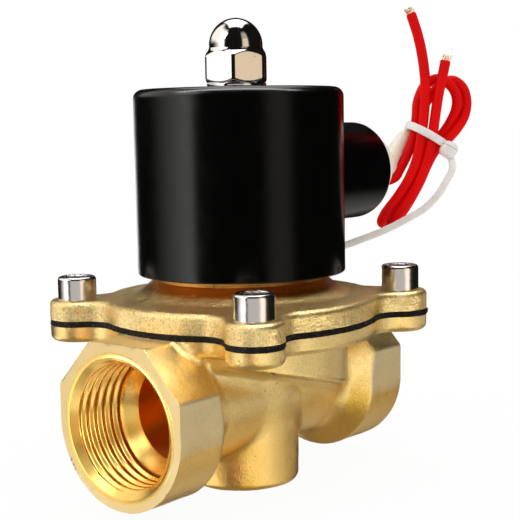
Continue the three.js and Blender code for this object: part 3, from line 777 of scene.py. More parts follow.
def body_outside(x, y, z):
    """Bowl, neck along the ports, round boss below, bolt flange and the two port collars."""
    radius, port_radius, along = np.hypot(x, y), np.hypot(y, z), np.abs(x)
    flange = round_both(outline(x, y, DISC_R, LOBE_R), FLANGE_BASE_Z - z, fillet=1.9)
    underside = slanted(BOWL_BASE_Z - FLOOR_SLOPE * x - z, FLOOR_SLOPE)
    bowl = both(round_both(radius - BOWL_R, underside, fillet=1.3), z - BOWL_TOP_Z)
    neck = both(port_radius - NECK_R, along - NECK_END_X)
    boss = both(round_both(radius - BOSS_R, -PORT_AXIS_Z - z, fillet=1.9), z - BOSS_TOP_Z)
    solid = round_either(bowl, neck, fillet=5.5)
    solid = round_either(solid, boss, fillet=1.5)
    solid = round_either(solid, flange, fillet=1.3)
    # collars: flat on top with sloping shoulders and upright sides, round below
    across = np.abs(y)
    shoulder = SHOULDER[0] * across + SHOULDER[1] * z - SHOULDER[2]
    upper = round_both(across - COLLAR_R, z - COLLAR_R, fillet=0.5)
    upper = round_both(upper, shoulder, fillet=0.5)
    collar = np.where(z < 0, port_radius - COLLAR_R, upper)
    back = np.where(x < 0, COLLAR_BACK_X["outlet"], COLLAR_BACK_X["inlet"])
    cone = slanted(port_radius - NECK_R - (along - back + 6) * COLLAR_BACK_SLOPE,
                   COLLAR_BACK_SLOPE)
    return round_either(solid, round_both(collar, cone, fillet=0.55), fillet=2.2)


def port_cone(port_radius, along, cone):
    radius, at_x, slope = cone
    return slanted(port_radius - radius - (along - at_x) * slope, slope)


def body_hollows(x, y, z):
    """Port pockets, the passages, seat bore, ring chamber and screw holes."""
    radius, port_radius, along = np.hypot(x, y), np.hypot(y, z), np.abs(x)
    pocket = both(port_radius - POCKET_R, port_cone(port_radius, along, POCKET_CONE))
    mouth = both(port_cone(port_radius, along, MOUTH_CONE), MOUTH_BACK_X - along)
    pocket = both(either(pocket, mouth), POCKET_BACK_X - along)
    seat_bore = both(radius - SEAT_BORE_R, SEAT_BORE_BASE_Z - z)
    outlet_way, inlet_way = (both(port_radius - PASSAGE_R, start - x, x - end)
                             for start, end in (OUTLET_WAY_X, INLET_WAY_X))
    floor = slanted(CHAMBER_FLOOR_Z - FLOOR_SLOPE * x - z, FLOOR_SLOPE)
    ring = both(radius - CHAMBER_R, SEAT_R - radius, floor)
    over_seat = both(radius - SEAT_TOP_R, SEAT_TOP_Z - z)
    holes = both(bolt_radius(x, y) - BODY_HOLE_R, BODY_HOLE_BASE_Z - z)
    outlet = round_either(seat_bore, outlet_way, fillet=1.2)
    return either(pocket, outlet, inlet_way, ring, over_seat, holes)


def body_field(x, y, z):
    cast = body_outside(x, y, z) + 0.07 * body_waves(x, y, z) + 0.018 * pebbles(x, y, z)
    machined = both(cast, np.abs(x) - PORT_FACE_X, z - BODY_TOP_Z)
    return cut(machined, body_hollows(x, y, z))


body = contour("valve_body_casting", body_field, (-48.3, -39.9, -24.3), (48.3, 39.9, 22.4),
               0.66, BODY_BRASS)
register(body, "base", replaces="valve_body")

# ------------------------------------------------------------------ threaded port linings
THREAD_PITCH = 2.75
THREAD_R = 16.03                        # at the crests
THREAD_DEPTH = 0.95
LINING_FACE_X = PORT_FACE_X + 0.03      # just proud of the casting
# (x, radius) up the outside of the lining, from its inner end to the port face
LINING_BACK = (
    (27.95, 13.35), (28.3, 13.75), (31.2, 17.06), (46.0, 17.06),
    (47.45, 18.72), (47.45, 19.25), (LINING_FACE_X, 19.2))


def thread_radius(x, turn, side):
    """Radius of the thread at x for every angle, with the bevelled mouth."""
    phase = (PORT_FACE_X - x) / THREAD_PITCH + side * turn / (2 * np.pi)
    form = np.abs((phase % 1.0) - 0.5) * 2                # 0 at the crest, 1 at the root
    form = np.clip((form - 0.14) / 0.72, 0, 1)
    form = form * form * (3 - 2 * form) * 0.6 + form * 0.4
    depth = THREAD_DEPTH * np.clip((x - 31.2) / 1.6, 0, 1)      # runs out at the inner end
    bevel = 18.1 - (LINING_FACE_X - x) * 1.45
    return np.maximum(THREAD_R + depth * form, bevel)


def port_lining(name, side):
    """side is +1 for the inlet, -1 for the outlet."""
    turn = full_turn(360)
    stations = [(x, thread_radius(x, turn, side)) for x in np.arange(LINING_FACE_X, 31.45, -0.10)]
    stations += [(x, np.interp(x, (28, 31.3), (PASSAGE_R, THREAD_R)))
                 for x in (31.3, 30.5, 29.5, 28.4, 27.95)]
    stations += LINING_BACK
    rows = [ring_about_x(side * x, radius, turn) for x, radius in stations]
    order = (3, 2, 1, 0) if side > 0 else (0, 1, 2, 3)
    return ring_mesh(name, rows, PORT_BRASS, sharp=38, order=order)


for name, side in (("port_thread_inlet", 1), ("port_thread_outlet", -1)):
    register(port_lining(name, side), "base")

# ------------------------------------------------------------------ cover casting
COVER_BASE_Z = 23.0
PLATE_TOP_Z = 28.3
HUB_R, HUB_TOP_Z = 23.6, 34.1
DOME_R = 36
COVER_CHAMBER_TOP_Z = 26
COVER_BORES = ((13.4, 29.85), (12.6, 31.15), (11.6, 32.6))     # stepped bore: radius, top z
COVER_THROUGH_R = 9.25
COVER_HOLE_R = 3.25
# top of the dome and cone round the hub: radius, z
DOME_PROFILE = np.array((
    (0, 33.5), (23.2, 33.4), (23.8, 32.9), (24.5, 32.2), (25.4, 31.45), (26.3, 30.9), (27.2, 30.3),
    (28.0, 29.85), (28.8, 29.4), (29.8, 29.0), (31.0, 28.68), (32.5, 28.5), (34.5, 28.32),
    (40.0, 27.0)))

cover_waves = lumps(8, 6, 14)
# the profile resampled and smoothed; dome_scale turns height into true distance
dome_r = np.linspace(0, 40, 801)
kernel = np.hanning(23)
kernel /= kernel.sum()
dome_z = np.pad(np.interp(dome_r, *DOME_PROFILE.T), 11, mode="edge")
dome_z = np.convolve(dome_z, kernel, "valid")
dome_scale = 1 / np.hypot(1, np.gradient(dome_z, dome_r))


def cover_field(x, y, z):
    radius = np.hypot(x, y)
    plate = round_both(outline(x, y, DISC_R, LOBE_R), z - PLATE_TOP_Z, fillet=1.35)
    dome = (z - np.interp(radius, dome_r, dome_z)) * np.interp(radius, dome_r, dome_scale)
    dome = both(dome, radius - DOME_R)
    hub = both(radius - HUB_R, z - HUB_TOP_Z)
    solid = either(round_either(plate, dome, fillet=0.8), hub)
    solid = solid + 0.06 * cover_waves(x, y, z) + 0.022 * pebbles(y, z, x)
    chamber = round_both(radius - CHAMBER_R, z - COVER_CHAMBER_TOP_Z, fillet=1.4)
    bores = [both(radius - bore, z - top) for bore, top in COVER_BORES]
    return cut(both(solid, COVER_BASE_Z - z), chamber, *bores, radius - COVER_THROUGH_R,
               bolt_radius(x, y) - COVER_HOLE_R)


cover = contour("cover_casting", cover_field, (-39.9, -39.9, 22.2), (39.9, 39.9, 34.9),
                0.52, COVER_BRASS)
register(cover, "base", replaces="cover")

# ------------------------------------------------------------------ rubber diaphragm
RUBBER_PROUD = 0.15         # its edge shows all round between the castings
RUBBER_BORE_R, RUBBER_HOLE_R = 3.2, 3.3
# radius, top z, underside z
ROLL = np.array((
    (3.2, 18.3, 16.1), (14.0, 18.3, 16.1), (16.2, 18.3, 16.2), (19.3, 18.9, 17.1),
    (21.8, 20.6, 19.2), (24.2, 22.3, 21.1), (26.0, 22.85, 21.48), (27.6, 22.97, 21.43),
    (60.0, 22.97, 21.43)))

edge_slow, edge_fast = lumps(21, 9, 26, 10), lumps(22, 1.1, 3.0, 22)


def rubber_field(x, y, z):
    radius = np.hypot(x, y)
    fast = edge_fast(x, y, z)
    edge = (outline(x, y, DISC_R + RUBBER_PROUD, LOBE_R + RUBBER_PROUD)
            - 0.24 * edge_slow(x, y, z * 0.2) - 0.20 * fast)
    top = np.interp(radius, ROLL[:, 0], ROLL[:, 1])
    underside = np.interp(radius, ROLL[:, 0], ROLL[:, 2])
    slab = both(z - top, underside - z) * 0.86      # scaled down for the slope of the roll
    sheet = round_both(edge, slab + 0.05 * fast, fillet=0.16)
    return both(sheet, RUBBER_BORE_R - radius, RUBBER_HOLE_R - bolt_radius(x, y))


diaphragm = contour("diaphragm_rubber", rubber_field, (-40.6, -40.6, 15.4), (40.6, 40.6, 23.6),
                    0.44, BLACK_RUBBER)
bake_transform(diaphragm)
register(diaphragm, None, replaces="diaphragm")


# ------------------------------------------------------------------ springs
def helix(name, radius, wire, bottom, top, turns):
    """wire is the wire's radius; bottom and top are the spring's ends."""
    count = int(turns * 36)
    turn = np.linspace(0, turns * 2 * np.pi, count)
    curve = ring_about_z(np.linspace(bottom + wire, top - wire, count), radius, turn)
    return sweep(name, curve, lambda s: circle(wire, 10), SPRING_WIRE)


def add_spring(part, radius, wire, bottom, top, turns):
    """A spring fixed to the base between its ends, standing in for its part's spring."""
    spring = helix(f"{part}_return_spring", radius, wire, bottom, top, turns)
    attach(spring, "base")
    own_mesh(spring)
    register(spring, None, replaces=f"{part}_spring")


add_spring("plunger", radius=2.75, wire=0.38, bottom=41.6, top=59.9, turns=9)
add_spring("diaphragm", radius=11.7, wire=0.4, bottom=19.6, top=28.15, turns=3.5)

# ------------------------------------------------------------------ coil can
CAN_BASE = 34.57
CAN_INNER_R = 26.9
CAN_ROOF_Z = 81.9           # underside of the can's top
CAN_HOLE_R = 5.35
CAN_FOOT_ROUND, CAN_TOP_ROUND = 0.5, 2.6
CAN_SHIFT = (0.00028, -0.00034, 0)      # metres, slightly off centre


def coil_can():
    foot_r, foot_z = CAN_R - CAN_FOOT_ROUND, CAN_BASE + CAN_FOOT_ROUND
    top_r, top_z = CAN_R - CAN_TOP_ROUND, CAN_TOP - CAN_TOP_ROUND
    profile = [(CAN_INNER_R, CAN_BASE), (28.0, CAN_BASE)]
    profile += [(foot_r + CAN_FOOT_ROUND * math.sin(a), foot_z - CAN_FOOT_ROUND * math.cos(a))
                for a in np.linspace(0.15, 1.571, 6)]
    profile += [(CAN_R, z) for z in np.linspace(37, 81.2, 12)]
    profile += [(top_r + CAN_TOP_ROUND * math.cos(a), top_z + CAN_TOP_ROUND * math.sin(a))
                for a in np.linspace(0.05, 1.571, 14)]
    profile += [(20, CAN_TOP), (12, CAN_TOP), (CAN_HOLE_R, CAN_TOP),
                (CAN_HOLE_R, CAN_ROOF_Z), (CAN_INNER_R, CAN_ROOF_Z)]
    can = lathe("coil_can_shell", profile, 240, BLACK_ENAMEL)
    can.data.transform(Matrix.Translation(CAN_SHIFT))
    return can


def lead_outlet():
    """The round lead outlet: a tube along +X whose inner end follows the can's wall."""
    outer_r, inner_r, foot_fillet, lip_round = 14.5, 12.9, 0.8, 0.55
    quarter = [k / 5 * math.pi / 2 for k in range(1, 6)]
    # radius, offset from the can's wall, least x
    stations = [(outer_r + foot_fillet, 0, 0)]
    stations += [(outer_r + foot_fillet * (1 - math.sin(b)), foot_fillet * (1 - math.cos(b)), 0)
                 for b in quarter]
    stations += [(outer_r, 0.85, x) for x in (36, 40, 44, 48, 51.5, 52.6)]
    stations += [(outer_r - lip_round * (1 - math.cos(b)), 0, 52.75 + lip_round * math.sin(b))
                 for b in quarter]
    stations += [(13.35, 0, 53.3), (12.95, 0, 52.9), (inner_r, 0, 44), (inner_r, 0, 0)]
    turn = full_turn(160)
    rows = []
    for radius, offset, least in stations:
        y = radius * np.cos(turn)
        wall = np.sqrt(np.maximum(28.5 ** 2 - y ** 2, 0)) - 0.02
        rows.append(ring_about_x(np.maximum(wall + offset, least), radius, turn, z=LEAD_Z))
    return ring_mesh("lead_outlet_tube", rows, BLACK_ENAMEL, sharp=40)


def yoke_disc():
    """The plated plate under the can, its lower rim a little chipped."""
    # radius, z, share of the chipping
    stations = (
        (9.1, 37, 0), (26.4, 37, 0), (26.65, 36.8, 0), (26.65, 34.5, 1.5),
        (26.45, 34.22, 1.5), (26.2, 34.2, 1.5), (9.1, 34.2, 0))
    turn = full_turn(360)
    noise = lumps(31, 1.0, 4.0, 26)(26 * np.cos(turn), 26 * np.sin(turn), 0 * turn)
    chips = 0.16 * np.clip(np.abs(noise) - 0.45, 0, 1)
    rows = [ring_about_z(z, radius - chips * share, turn) for radius, z, share in stations]
    return ring_mesh("yoke_plate_disc", rows, YELLOW_ZINC, sharp=30, order=(0, 3, 2, 1))


register(coil_can(), "coil_assembly", replaces="coil_can")
register(lead_outlet(), "coil_assembly", replaces="lead_outlet_sleeve")
register(yoke_disc(), "coil_assembly", replaces="yoke_plate")

# ------------------------------------------------------------------ washer and acorn nut
WASHER_PROFILE = (      # radius, z
    (5.3, 84.45), (7.85, 84.45), (7.98, 84.5), (8.05, 84.62),
    (8.05, 85.48), (7.98, 85.6), (7.85, 85.65), (5.3, 85.65))
NUT_TURN = math.radians(-144.2)
NUT_HALF_WIDTH = 8.0
NUT_BASE_Z, NUT_HEX_TOP_Z = 85.8, 94.6
CAP_R, CAP_CENTRE_Z, CAP_HEIGHT = 7.25, 95.7, 7.35
NUT_BORE_R = 5.15

washer = lathe("washer_plated", WASHER_PROFILE, 128, NICKEL)
register(washer, "base", replaces="top_washer")


def nut_field(x, y, z):
    radius = np.hypot(x, y)
    first, second, third = hex_sides(x, y, NUT_TURN + math.pi / 6, NUT_HALF_WIDTH)
    hexagon = round_both(round_both(first, second, fillet=0.7), third, fillet=0.7)
    top_bevel = (radius - 7.35) * 0.70 + (z - 94.5) * 0.71
    low_bevel = (radius - 8.05) * 0.62 - (z - NUT_BASE_Z) * 0.78
    hexagon = round_both(round_both(hexagon, top_bevel, fillet=0.3), low_bevel, fillet=0.3)
    hexagon = both(hexagon, NUT_BASE_Z - z, z - NUT_HEX_TOP_Z)
    rise = np.maximum(z - CAP_CENTRE_Z, 0) * (CAP_R / CAP_HEIGHT)
    cap = both(np.hypot(radius, rise) - CAP_R, 90 - z)
    bore = both(radius - NUT_BORE_R, (z - 98.4) * 0.9 + radius * 0.38 - 0.9)
    return cut(round_either(hexagon, cap, fillet=0.55), bore)


nut = contour("acorn_nut_plated", nut_field, (-9.6, -9.6, 85.2), (9.6, 9.6, 103.2), 0.24, NICKEL)
register(nut, "base", replaces="acorn_nut")

# ------------------------------------------------------------------ cover screws
HEAD_R, HEAD_BASE_Z, HEAD_TOP_Z = 5.2, 28.1, 34.4
SHANK_R, SHANK_BASE_Z = 2.95, 16.6
SOCKET_HALF_WIDTH, SOCKET_BASE_Z = 2.5, 31.4
# side of the valve in x and y, and where the head's top really is
SCREWS = ((-1, -1, 34.85), (1, -1, 35.15), (1, 1, 34.6), (-1, 1, 34.45))


def screw_field(turn, top):
    """A socket screw on the Z axis, its socket turned by turn."""
    def field(x, y, z):
        z = np.where(z > 31, z - (top - HEAD_TOP_Z), z)     # lifts only the upper head
        radius = np.hypot(x, y)
        head = round_both(radius - HEAD_R, z - HEAD_TOP_Z, fillet=0.95)
        head = round_both(head, HEAD_BASE_Z - z, fillet=0.2)
        shank = both(round_both(radius - SHANK_R, SHANK_BASE_Z - z, fillet=0.45), z - 29)
        hexagon = hex_sides(x, y, turn, SOCKET_HALF_WIDTH)
        socket = both(*hexagon, SOCKET_BASE_Z - z)
        bevel = both((radius - 3.1 - (z - HEAD_TOP_Z)) * 0.7071, 34.1 - z)
        dish = both(radius - 3.55, 34.22 - z)
        return cut(either(head, shank), socket, bevel, dish)
    return field


for k, (side_x, side_y, top) in enumerate(SCREWS):
    screw = contour(f"socket_screw_{k + 1}", screw_field(0.5 + k * 0.7, top),
                    (-5.8, -5.8, 16.1), (5.8, 5.8, 35.8), 0.27, SCREW_STEEL)
    screw.data.transform(Matrix.Translation((side_x * BOLT / 1000, side_y * BOLT / 1000, 0)))
    register(screw, "base", replaces=f"cover_screw_{k + 1}")

# ------------------------------------------------------------------ leads
# x, y, z along each lead, from the can to the cut end
LEAD_A = [
    [58.5, -1.0, 55.8], [64.5, -2.4, 55.8], [70.47, -4.42, 57.06], [72.0, -5.31, 59.68],
    [73.74, -6.43, 63.24], [75.21, -7.36, 66.97], [76.43, -8.08, 71.02], [77.21, -8.15, 75.72],
    [77.93, -8.26, 80.72], [79.52, -10.04, 85.69], [82.02, -12.72, 87.5], [84.72, -15.46, 85.88],
    [86.22, -17.11, 82.41], [86.22, -17.23, 78.33], [85.13, -15.77, 73.96], [83.28, -13.41, 69.6],
    [81.36, -10.9, 65.54], [79.87, -9.23, 61.46], [78.28, -7.61, 56.42], [76.07, -5.63, 51.08],
    [73.76, -3.72, 46.38], [71.18, -2.38, 43.65], [68.15, -2.11, 42.46], [65.25, -2.86, 43.35],
    [65.29, -4.43, 46.21], [67.86, -6.86, 50.66], [70.72, -9.28, 56.19], [72.7, -10.8, 61.75],
    [74.02, -11.62, 67.63], [75.03, -11.92, 73.51], [75.96, -12.0, 80.02], [76.7, -11.7, 86.53],
    [76.93, -10.58, 94.15], [76.79, -9.03, 100.85], [76.17, -6.87, 107.73]]
LEAD_B = [
    [80.18, -5.32, 72.87], [81.52, -6.55, 76.65], [83.45, -8.89, 81.66], [85.82, -11.5, 85.55],
    [88.34, -14.39, 87.06], [90.07, -17.02, 84.95], [90.27, -18.48, 80.81], [88.54, -18.84, 76.09],
    [85.42, -17.78, 71.73], [82.3, -15.66, 68.04], [79.75, -13.19, 64.81], [78.32, -11.31, 60.59],
    [76.74, -9.7, 55.58], [74.55, -7.73, 50.28], [72.24, -6.03, 46.09], [69.76, -5.38, 43.71],
    [67.7, -5.65, 43.34], [67.04, -6.69, 44.5], [68.06, -8.38, 47.09], [69.91, -10.15, 50.47],
    [72.2, -12.01, 55.23], [73.99, -13.27, 60.16], [75.43, -14.03, 65.41], [76.69, -14.53, 70.98],
    [77.66, -14.84, 76.55], [78.91, -15.2, 82.74], [80.25, -15.79, 88.3], [81.32, -16.23, 92.94]]
LEAD_R = 1.6
STRAND_R = 0.235
STRAND_RINGS = ((1, 0, 0), (6, 0.46, 0), (12, 0.94, 0.2))    # strands, ring radius, first angle


def lead(name, curve):
    """Insulation, drawn in slightly at its cut end."""
    return sweep(name, curve, lambda s: circle(LEAD_R, 28) * (1.0 if s < 1 else 0.97),
                 RED_SILICONE, sharp=60)


def strands(name, curve, seed):
    """Cut copper strands that fan out of the insulation's end."""
    random = np.random.default_rng(seed)
    end = curve[-1]
    ahead = curve[-1] - curve[-3]
    ahead /= np.linalg.norm(ahead)
    side = np.cross(ahead, (0.3, 0.9, 0.1))
    side /= np.linalg.norm(side)
    other = np.cross(ahead, side)
    steps, corners = 9, 8
    section = circle(STRAND_R, corners)
    quads = grid_faces(steps, corners, closed=False)[:, [0, 3, 2, 1]]
    verts, faces = [], []
    spots = [(radius * math.cos(first + k * 2 * math.pi / count),
              radius * math.sin(first + k * 2 * math.pi / count))
             for count, radius, first in STRAND_RINGS for k in range(count)]
    for a, b in spots:
        s = np.linspace(-0.6, random.uniform(0.9, 2.1), steps)
        free = np.clip(s, 0, 9)
        fan = 1 + 0.14 * free ** 1.3 * random.uniform(0.2, 1.5)
        stray = random.normal(0, 0.10, 2)
        twist = 0.25 * s
        u = (a * np.cos(twist) - b * np.sin(twist)) * fan + stray[0] * free ** 1.2
        v = (a * np.sin(twist) + b * np.cos(twist)) * fan + stray[1] * free ** 1.2
        line = end + s[:, None] * ahead + u[:, None] * side + v[:, None] * other
        start, last = len(verts), len(verts) + (steps - 1) * corners
        for point, across, over in zip(line, *transport(line)):
            verts.extend(point + section[:, :1] * across + section[:, 1:] * over)
        faces += (quads + start).tolist()
        faces.append(tuple(range(start, start + corners))[::-1])
        faces.append(tuple(range(last, last + corners)))
    return make(name, verts, faces, COPPER, sharp=45)


lead_curves = {"a": catmull(LEAD_A, 9), "b": catmull(LEAD_B, 9)}
for key, curve in lead_curves.items():
    register(lead(f"lead_red_{key}", curve), "coil_assembly",
             replaces=f"lead_wire_{key}")
for key, seed in (("a", 4), ("b", 9)):
    register(strands(f"copper_strands_{key}", lead_curves[key], seed), "coil_assembly",
             replaces=f"lead_conductor_{key}")

# ------------------------------------------------------------------ silicone plug and sleeve
PLUG_R, PLUG_BASE_X, PLUG_END_X = 14.25, 53.2, 56.6
PLUG_CORE_R, PLUG_CORE_X = 12.75, (42, 53.6)
SLEEVE_PATH = [
    [57.4, -1.0, 61.0], [67.07, -2.95, 60.01], [70.22, -2.6, 62.39], [73.18, -2.9, 65.45],
    [76.3, -3.5, 68.5], [78.8, -4.4, 71.4], [80.6, -5.5, 74.0]]

plug_waves = lumps(41, 4, 11, 12)
sleeve_waves = lumps(43, 3, 8, 10)


def plug_field(x, y, z):
    """A slightly domed cap over the outlet's end and a core inside it."""
    radius = np.hypot(y, z - LEAD_Z)
    domed = x - PLUG_END_X + 0.0035 * radius * radius
    cap = both(round_both(radius - PLUG_R, domed, fillet=2.6), PLUG_BASE_X - x)
    core = both(radius - PLUG_CORE_R, PLUG_CORE_X[0] - x, x - PLUG_CORE_X[1])
    exposed = np.clip((x - 53.4) / 1.0, 0, 1)
    return either(cap, core) * 0.85 + 0.38 * plug_waves(x, y, z) * exposed


def sleeve_section(s):
    """Tapering, flattening and uneven, drawn in over the last stretch."""
    points = circle(3.6 - 1.75 * s ** 0.8, 24)
    along = np.full(len(points), s * 14)
    wobble = 1 + 0.07 * sleeve_waves(points[:, 0] * 2, points[:, 1] * 2, along)
    if s > 0.93:
        wobble = wobble * (1 - 0.25 * (s - 0.93) / 0.07)
    return points * wobble[:, None] * (1, 1.0 - 0.18 * s)


plug = contour("lead_plug_silicone", plug_field, (41.4, -15.4, 44.6), (59.4, 15.4, 75.4), 0.42,
               MILKY_SILICONE)
register(plug, "coil_assembly", replaces="lead_plug")
sleeve = sweep("lead_tube_silicone", catmull(SLEEVE_PATH, 14), sleeve_section, MILKY_SILICONE,
               sharp=60)
register(sleeve, "coil_assembly", replaces="lead_tube")


# ------------------------------------------------------------------ cable tie
def unit(vector):
    return vector / np.linalg.norm(vector)


# the band's long and short directions, and the axis through it
TIE_LONG = unit(np.array((0.6389, -0.7691, -0.0172)) * 0.868
                - np.array((0.1003, 0.0611, 0.9931)) * 0.4966)
TIE_SHORT = unit(np.array((0.7628, 0.6362, -0.1162)))
TIE_AXIS = unit(np.cross(TIE_LONG, TIE_SHORT))
TIE_CENTRE = np.array((78.86, -11.46, 69.32))
TIE_HALF_LENGTH, TIE_HALF_DEPTH = 7.6, 6.2
TIE_HEAD = np.array((78.09, -19.27, 65.35))
HEAD_HALF, HEAD_HALF_SHORT = 2.6, 2.3
TAIL_PATH = [
    [78.05, -19.4, 65.1], [77.7, -20.95, 59.8], [75.9, -20.05, 56.1], [73.5, -18.3, 51.7],
    [70.23, -15.6, 47.66], [65.39, -11.39, 44.12], [60.25, -7.03, 41.08], [54.89, -3.24, 38.9],
    [49.5, -0.29, 37.2], [45.41, 1.27, 36.4]]


def strap(half_width, half_thickness):
    """A flat strap section with rounded edges."""
    def bulge(wave):
        return np.sign(wave) * np.abs(wave) ** (2 / 3.2)

    turn = full_turn(16)
    return np.stack([half_width * bulge(np.cos(turn)), half_thickness * bulge(np.sin(turn))], 1)


def tail_section(s):
    return strap(1.1 * (1 - 0.45 * max(0, (s - 0.9) / 0.1)), 0.52)


def head_field(x, y, z):
    """A rounded block with a slot along the tie's axis and a shallow groove round it."""
    offset = np.stack([x - TIE_HEAD[0], y - TIE_HEAD[1], z - TIE_HEAD[2]], -1)
    a, b, c = offset @ TIE_LONG, offset @ TIE_SHORT, offset @ TIE_AXIS
    block = (np.abs(a / HEAD_HALF) ** 3 + np.abs(b / HEAD_HALF_SHORT) ** 3
             + np.abs(c / HEAD_HALF) ** 3) ** (1 / 3.0)
    block = (block - 1) * HEAD_HALF_SHORT
    slot = both(np.abs(a) - 1.25, np.abs(b) - 0.6, -(c + 1.6))
    groove = both(np.abs(c - 0.9) - 0.12, -(block + 0.22))
    return cut(block, slot, groove) * 0.9


turn = full_turn(120)
loop = (TIE_CENTRE + np.outer(TIE_HALF_LENGTH * np.cos(turn), TIE_LONG)
        + np.outer(TIE_HALF_DEPTH * np.sin(turn), TIE_SHORT))
band = sweep("cable_tie_band", loop, lambda s: strap(1.25, 0.5), NYLON,
             closed=True, first=TIE_AXIS, sharp=70)
register(band, "coil_assembly", replaces="cable_tie")
head = contour("cable_tie_head", head_field, TIE_HEAD - 3.6, TIE_HEAD + 3.6, 0.2, NYLON)
register(head, "coil_assembly")
tail_curve = catmull(TAIL_PATH, 12)
tail = sweep("cable_tie_tail", tail_curve, tail_section, NYLON,
             first=np.cross(tail_curve[1] - tail_curve[0], TIE_SHORT), sharp=70)
register(tail, "coil_assembly")

# ------------------------------------------------------------------ parts kept as loaded
FINISHES = {
    "diaphragm_upper_disc": TURNED_BRASS, "diaphragm_lower_disc": TURNED_BRASS,
    "pilot_seat": TURNED_BRASS, "lift_snap_ring": SPRING_WIRE, "plunger": STEEL,
    "plunger_seal": BLACK_RUBBER, "guide_tube": STEEL, "tube_o_ring": BLACK_RUBBER,
    "tube_retaining_nut": TURNED_BRASS, "fixed_core": STEEL, "shading_ring": COPPER,
    "bobbin": BOBBIN, "winding": WINDING, "winding_tape": TAPE}
for name, material in FINISHES.items():
    part = frame["nodes"][name]
    if not part.data.materials:
        part.data.materials.append(material)
    for slot in part.material_slots:
        slot.link = "OBJECT"
        slot.material = material

# ------------------------------------------------------------------ camera
scene = bpy.context.scene
camera_data = bpy.data.cameras.new("camera")
camera = bpy.data.objects.new("camera", camera_data)
scene.collection.objects.link(camera)
# columns: right, up, backwards, place (metres)
camera.matrix_world = Matrix((
    (0.63888, 0.10025, -0.76275, -0.24994),
    (-0.76912, 0.06112, -0.63618, -0.21568),
    (-0.01716, 0.99308, 0.11615, 0.09956),
    (0, 0, 0, 1)))
camera_data.sensor_width = 36
camera_data.lens = 83.6923846
camera_data.clip_start = 0.01
camera_data.clip_end = 50
scene.camera = camera

# ------------------------------------------------------------------ floor
FLOOR_HALF, FLOOR_Z = 6.0, -0.0002      # metres


def floor_material():
    """Mostly self-lit, so that it stays evenly pale."""
    material, graph = new_material("floor_pale")
    tone = graph.mix(graph.noise(graph.coords(), scale=3.0), (0.93, 0.93, 0.93), (0.97, 0.97, 0.97))
    diffuse = graph.node("ShaderNodeBsdfDiffuse", {"Color": tone})
    glow = graph.node("ShaderNodeEmission", {"Color": (1, 1, 1), "Strength": 1.0})
    graph.surface(graph.node("ShaderNodeMixShader", {0: 0.95, 1: diffuse, 2: glow}))
    return material


floor_mesh = bpy.data.meshes.new("floor")
signs = ((-1, -1), (1, -1), (1, 1), (-1, 1))
floor_mesh.from_pydata([(a * FLOOR_HALF, b * FLOOR_HALF, FLOOR_Z) for a, b in signs], [],
                       [(0, 1, 2, 3)])
floor = bpy.data.objects.new("floor", floor_mesh)
scene.collection.objects.link(floor)
floor_mesh.materials.append(floor_material())
floor.visible_glossy = False
floor.visible_shadow = False

# ------------------------------------------------------------------ surroundings
# azimuth is 0 towards the camera and grows to the camera's right
VIEW_TURN = math.radians(-50.17)
FRONT = (math.sin(VIEW_TURN), -math.cos(VIEW_TURN), 0)
RIGHT = (math.cos(VIEW_TURN), math.sin(VIEW_TURN), 0)
UP = (0, 0, 1)


def reflected_panels(graph):
    """What shiny surfaces see: soft-edged bright panels, placed in degrees, on near black."""
    direction = graph.node("ShaderNodeTexCoord", output="Generated")
    degrees = 180 / math.pi
    front, up = graph.dot(direction, FRONT), graph.dot(direction, UP)
    sideways = graph.dot(direction, RIGHT)
    azimuth = graph.math("ARCTAN2", graph.dot(direction, RIGHT), front) * degrees
    elevation = graph.math("ARCSINE", up) * degrees
    # 0 towards the camera, 90 up, 180 behind the valve
    over = graph.math("ARCTAN2", graph.dot(direction, UP), graph.dot(direction, FRONT)) * degrees

    def window(azimuths, azimuth_soft, elevations, elevation_soft):
        return (graph.band(azimuth, *azimuths, soft=azimuth_soft)
                * graph.band(elevation, *elevations, soft=elevation_soft))

    left_ramp = graph.linear(azimuth, start=-110, end=-54) ** 1.6
    left = (graph.smooth(azimuth, start=-46, end=-54) * left_ramp
            * graph.band(elevation, -42, 14, soft=8))
    top = graph.band(sideways, -0.32, 0.36, soft=0.07) * graph.band(over, 82, 134, soft=4)
    behind = (graph.smooth(azimuth, start=-150, end=-160)
              * graph.band(elevation, -35, 1, soft=5))
    panels = (      # shape, colour, power
        (left, (1.0, 0.985, 0.96), 2.4),
        (window((-138, -52), 7, (12, 56), 7), (1.0, 0.97, 0.90), 1.15),     # upper left
        (window((31, 57), 6, (-40, 48), 8), (1.0, 0.93, 0.82), 0.45),       # right
        (top, (1.0, 1.0, 1.0), 3.0),
        (behind, (1.0, 1.0, 1.0), 2.0),
        (window((112, 165), 12, (-62, -30), 8), (1.0, 1.0, 0.97), 0.5),     # low, behind
        (graph.smooth(elevation, start=-38, end=-62), (1.0, 0.80, 0.52), 0.3),      # below
        (1.0, (1.0, 0.90, 0.74), 0.008))                                    # everywhere
    glows = []
    for shape, colour, power in panels:
        grey = graph.node("ShaderNodeCombineXYZ", {0: shape, 1: shape, 2: shape})
        glows.append(graph.vector_math("MULTIPLY", grey, shade(colour, power)))
    return elevation, reduce(lambda a, b: graph.vector_math("ADD", a, b), glows)


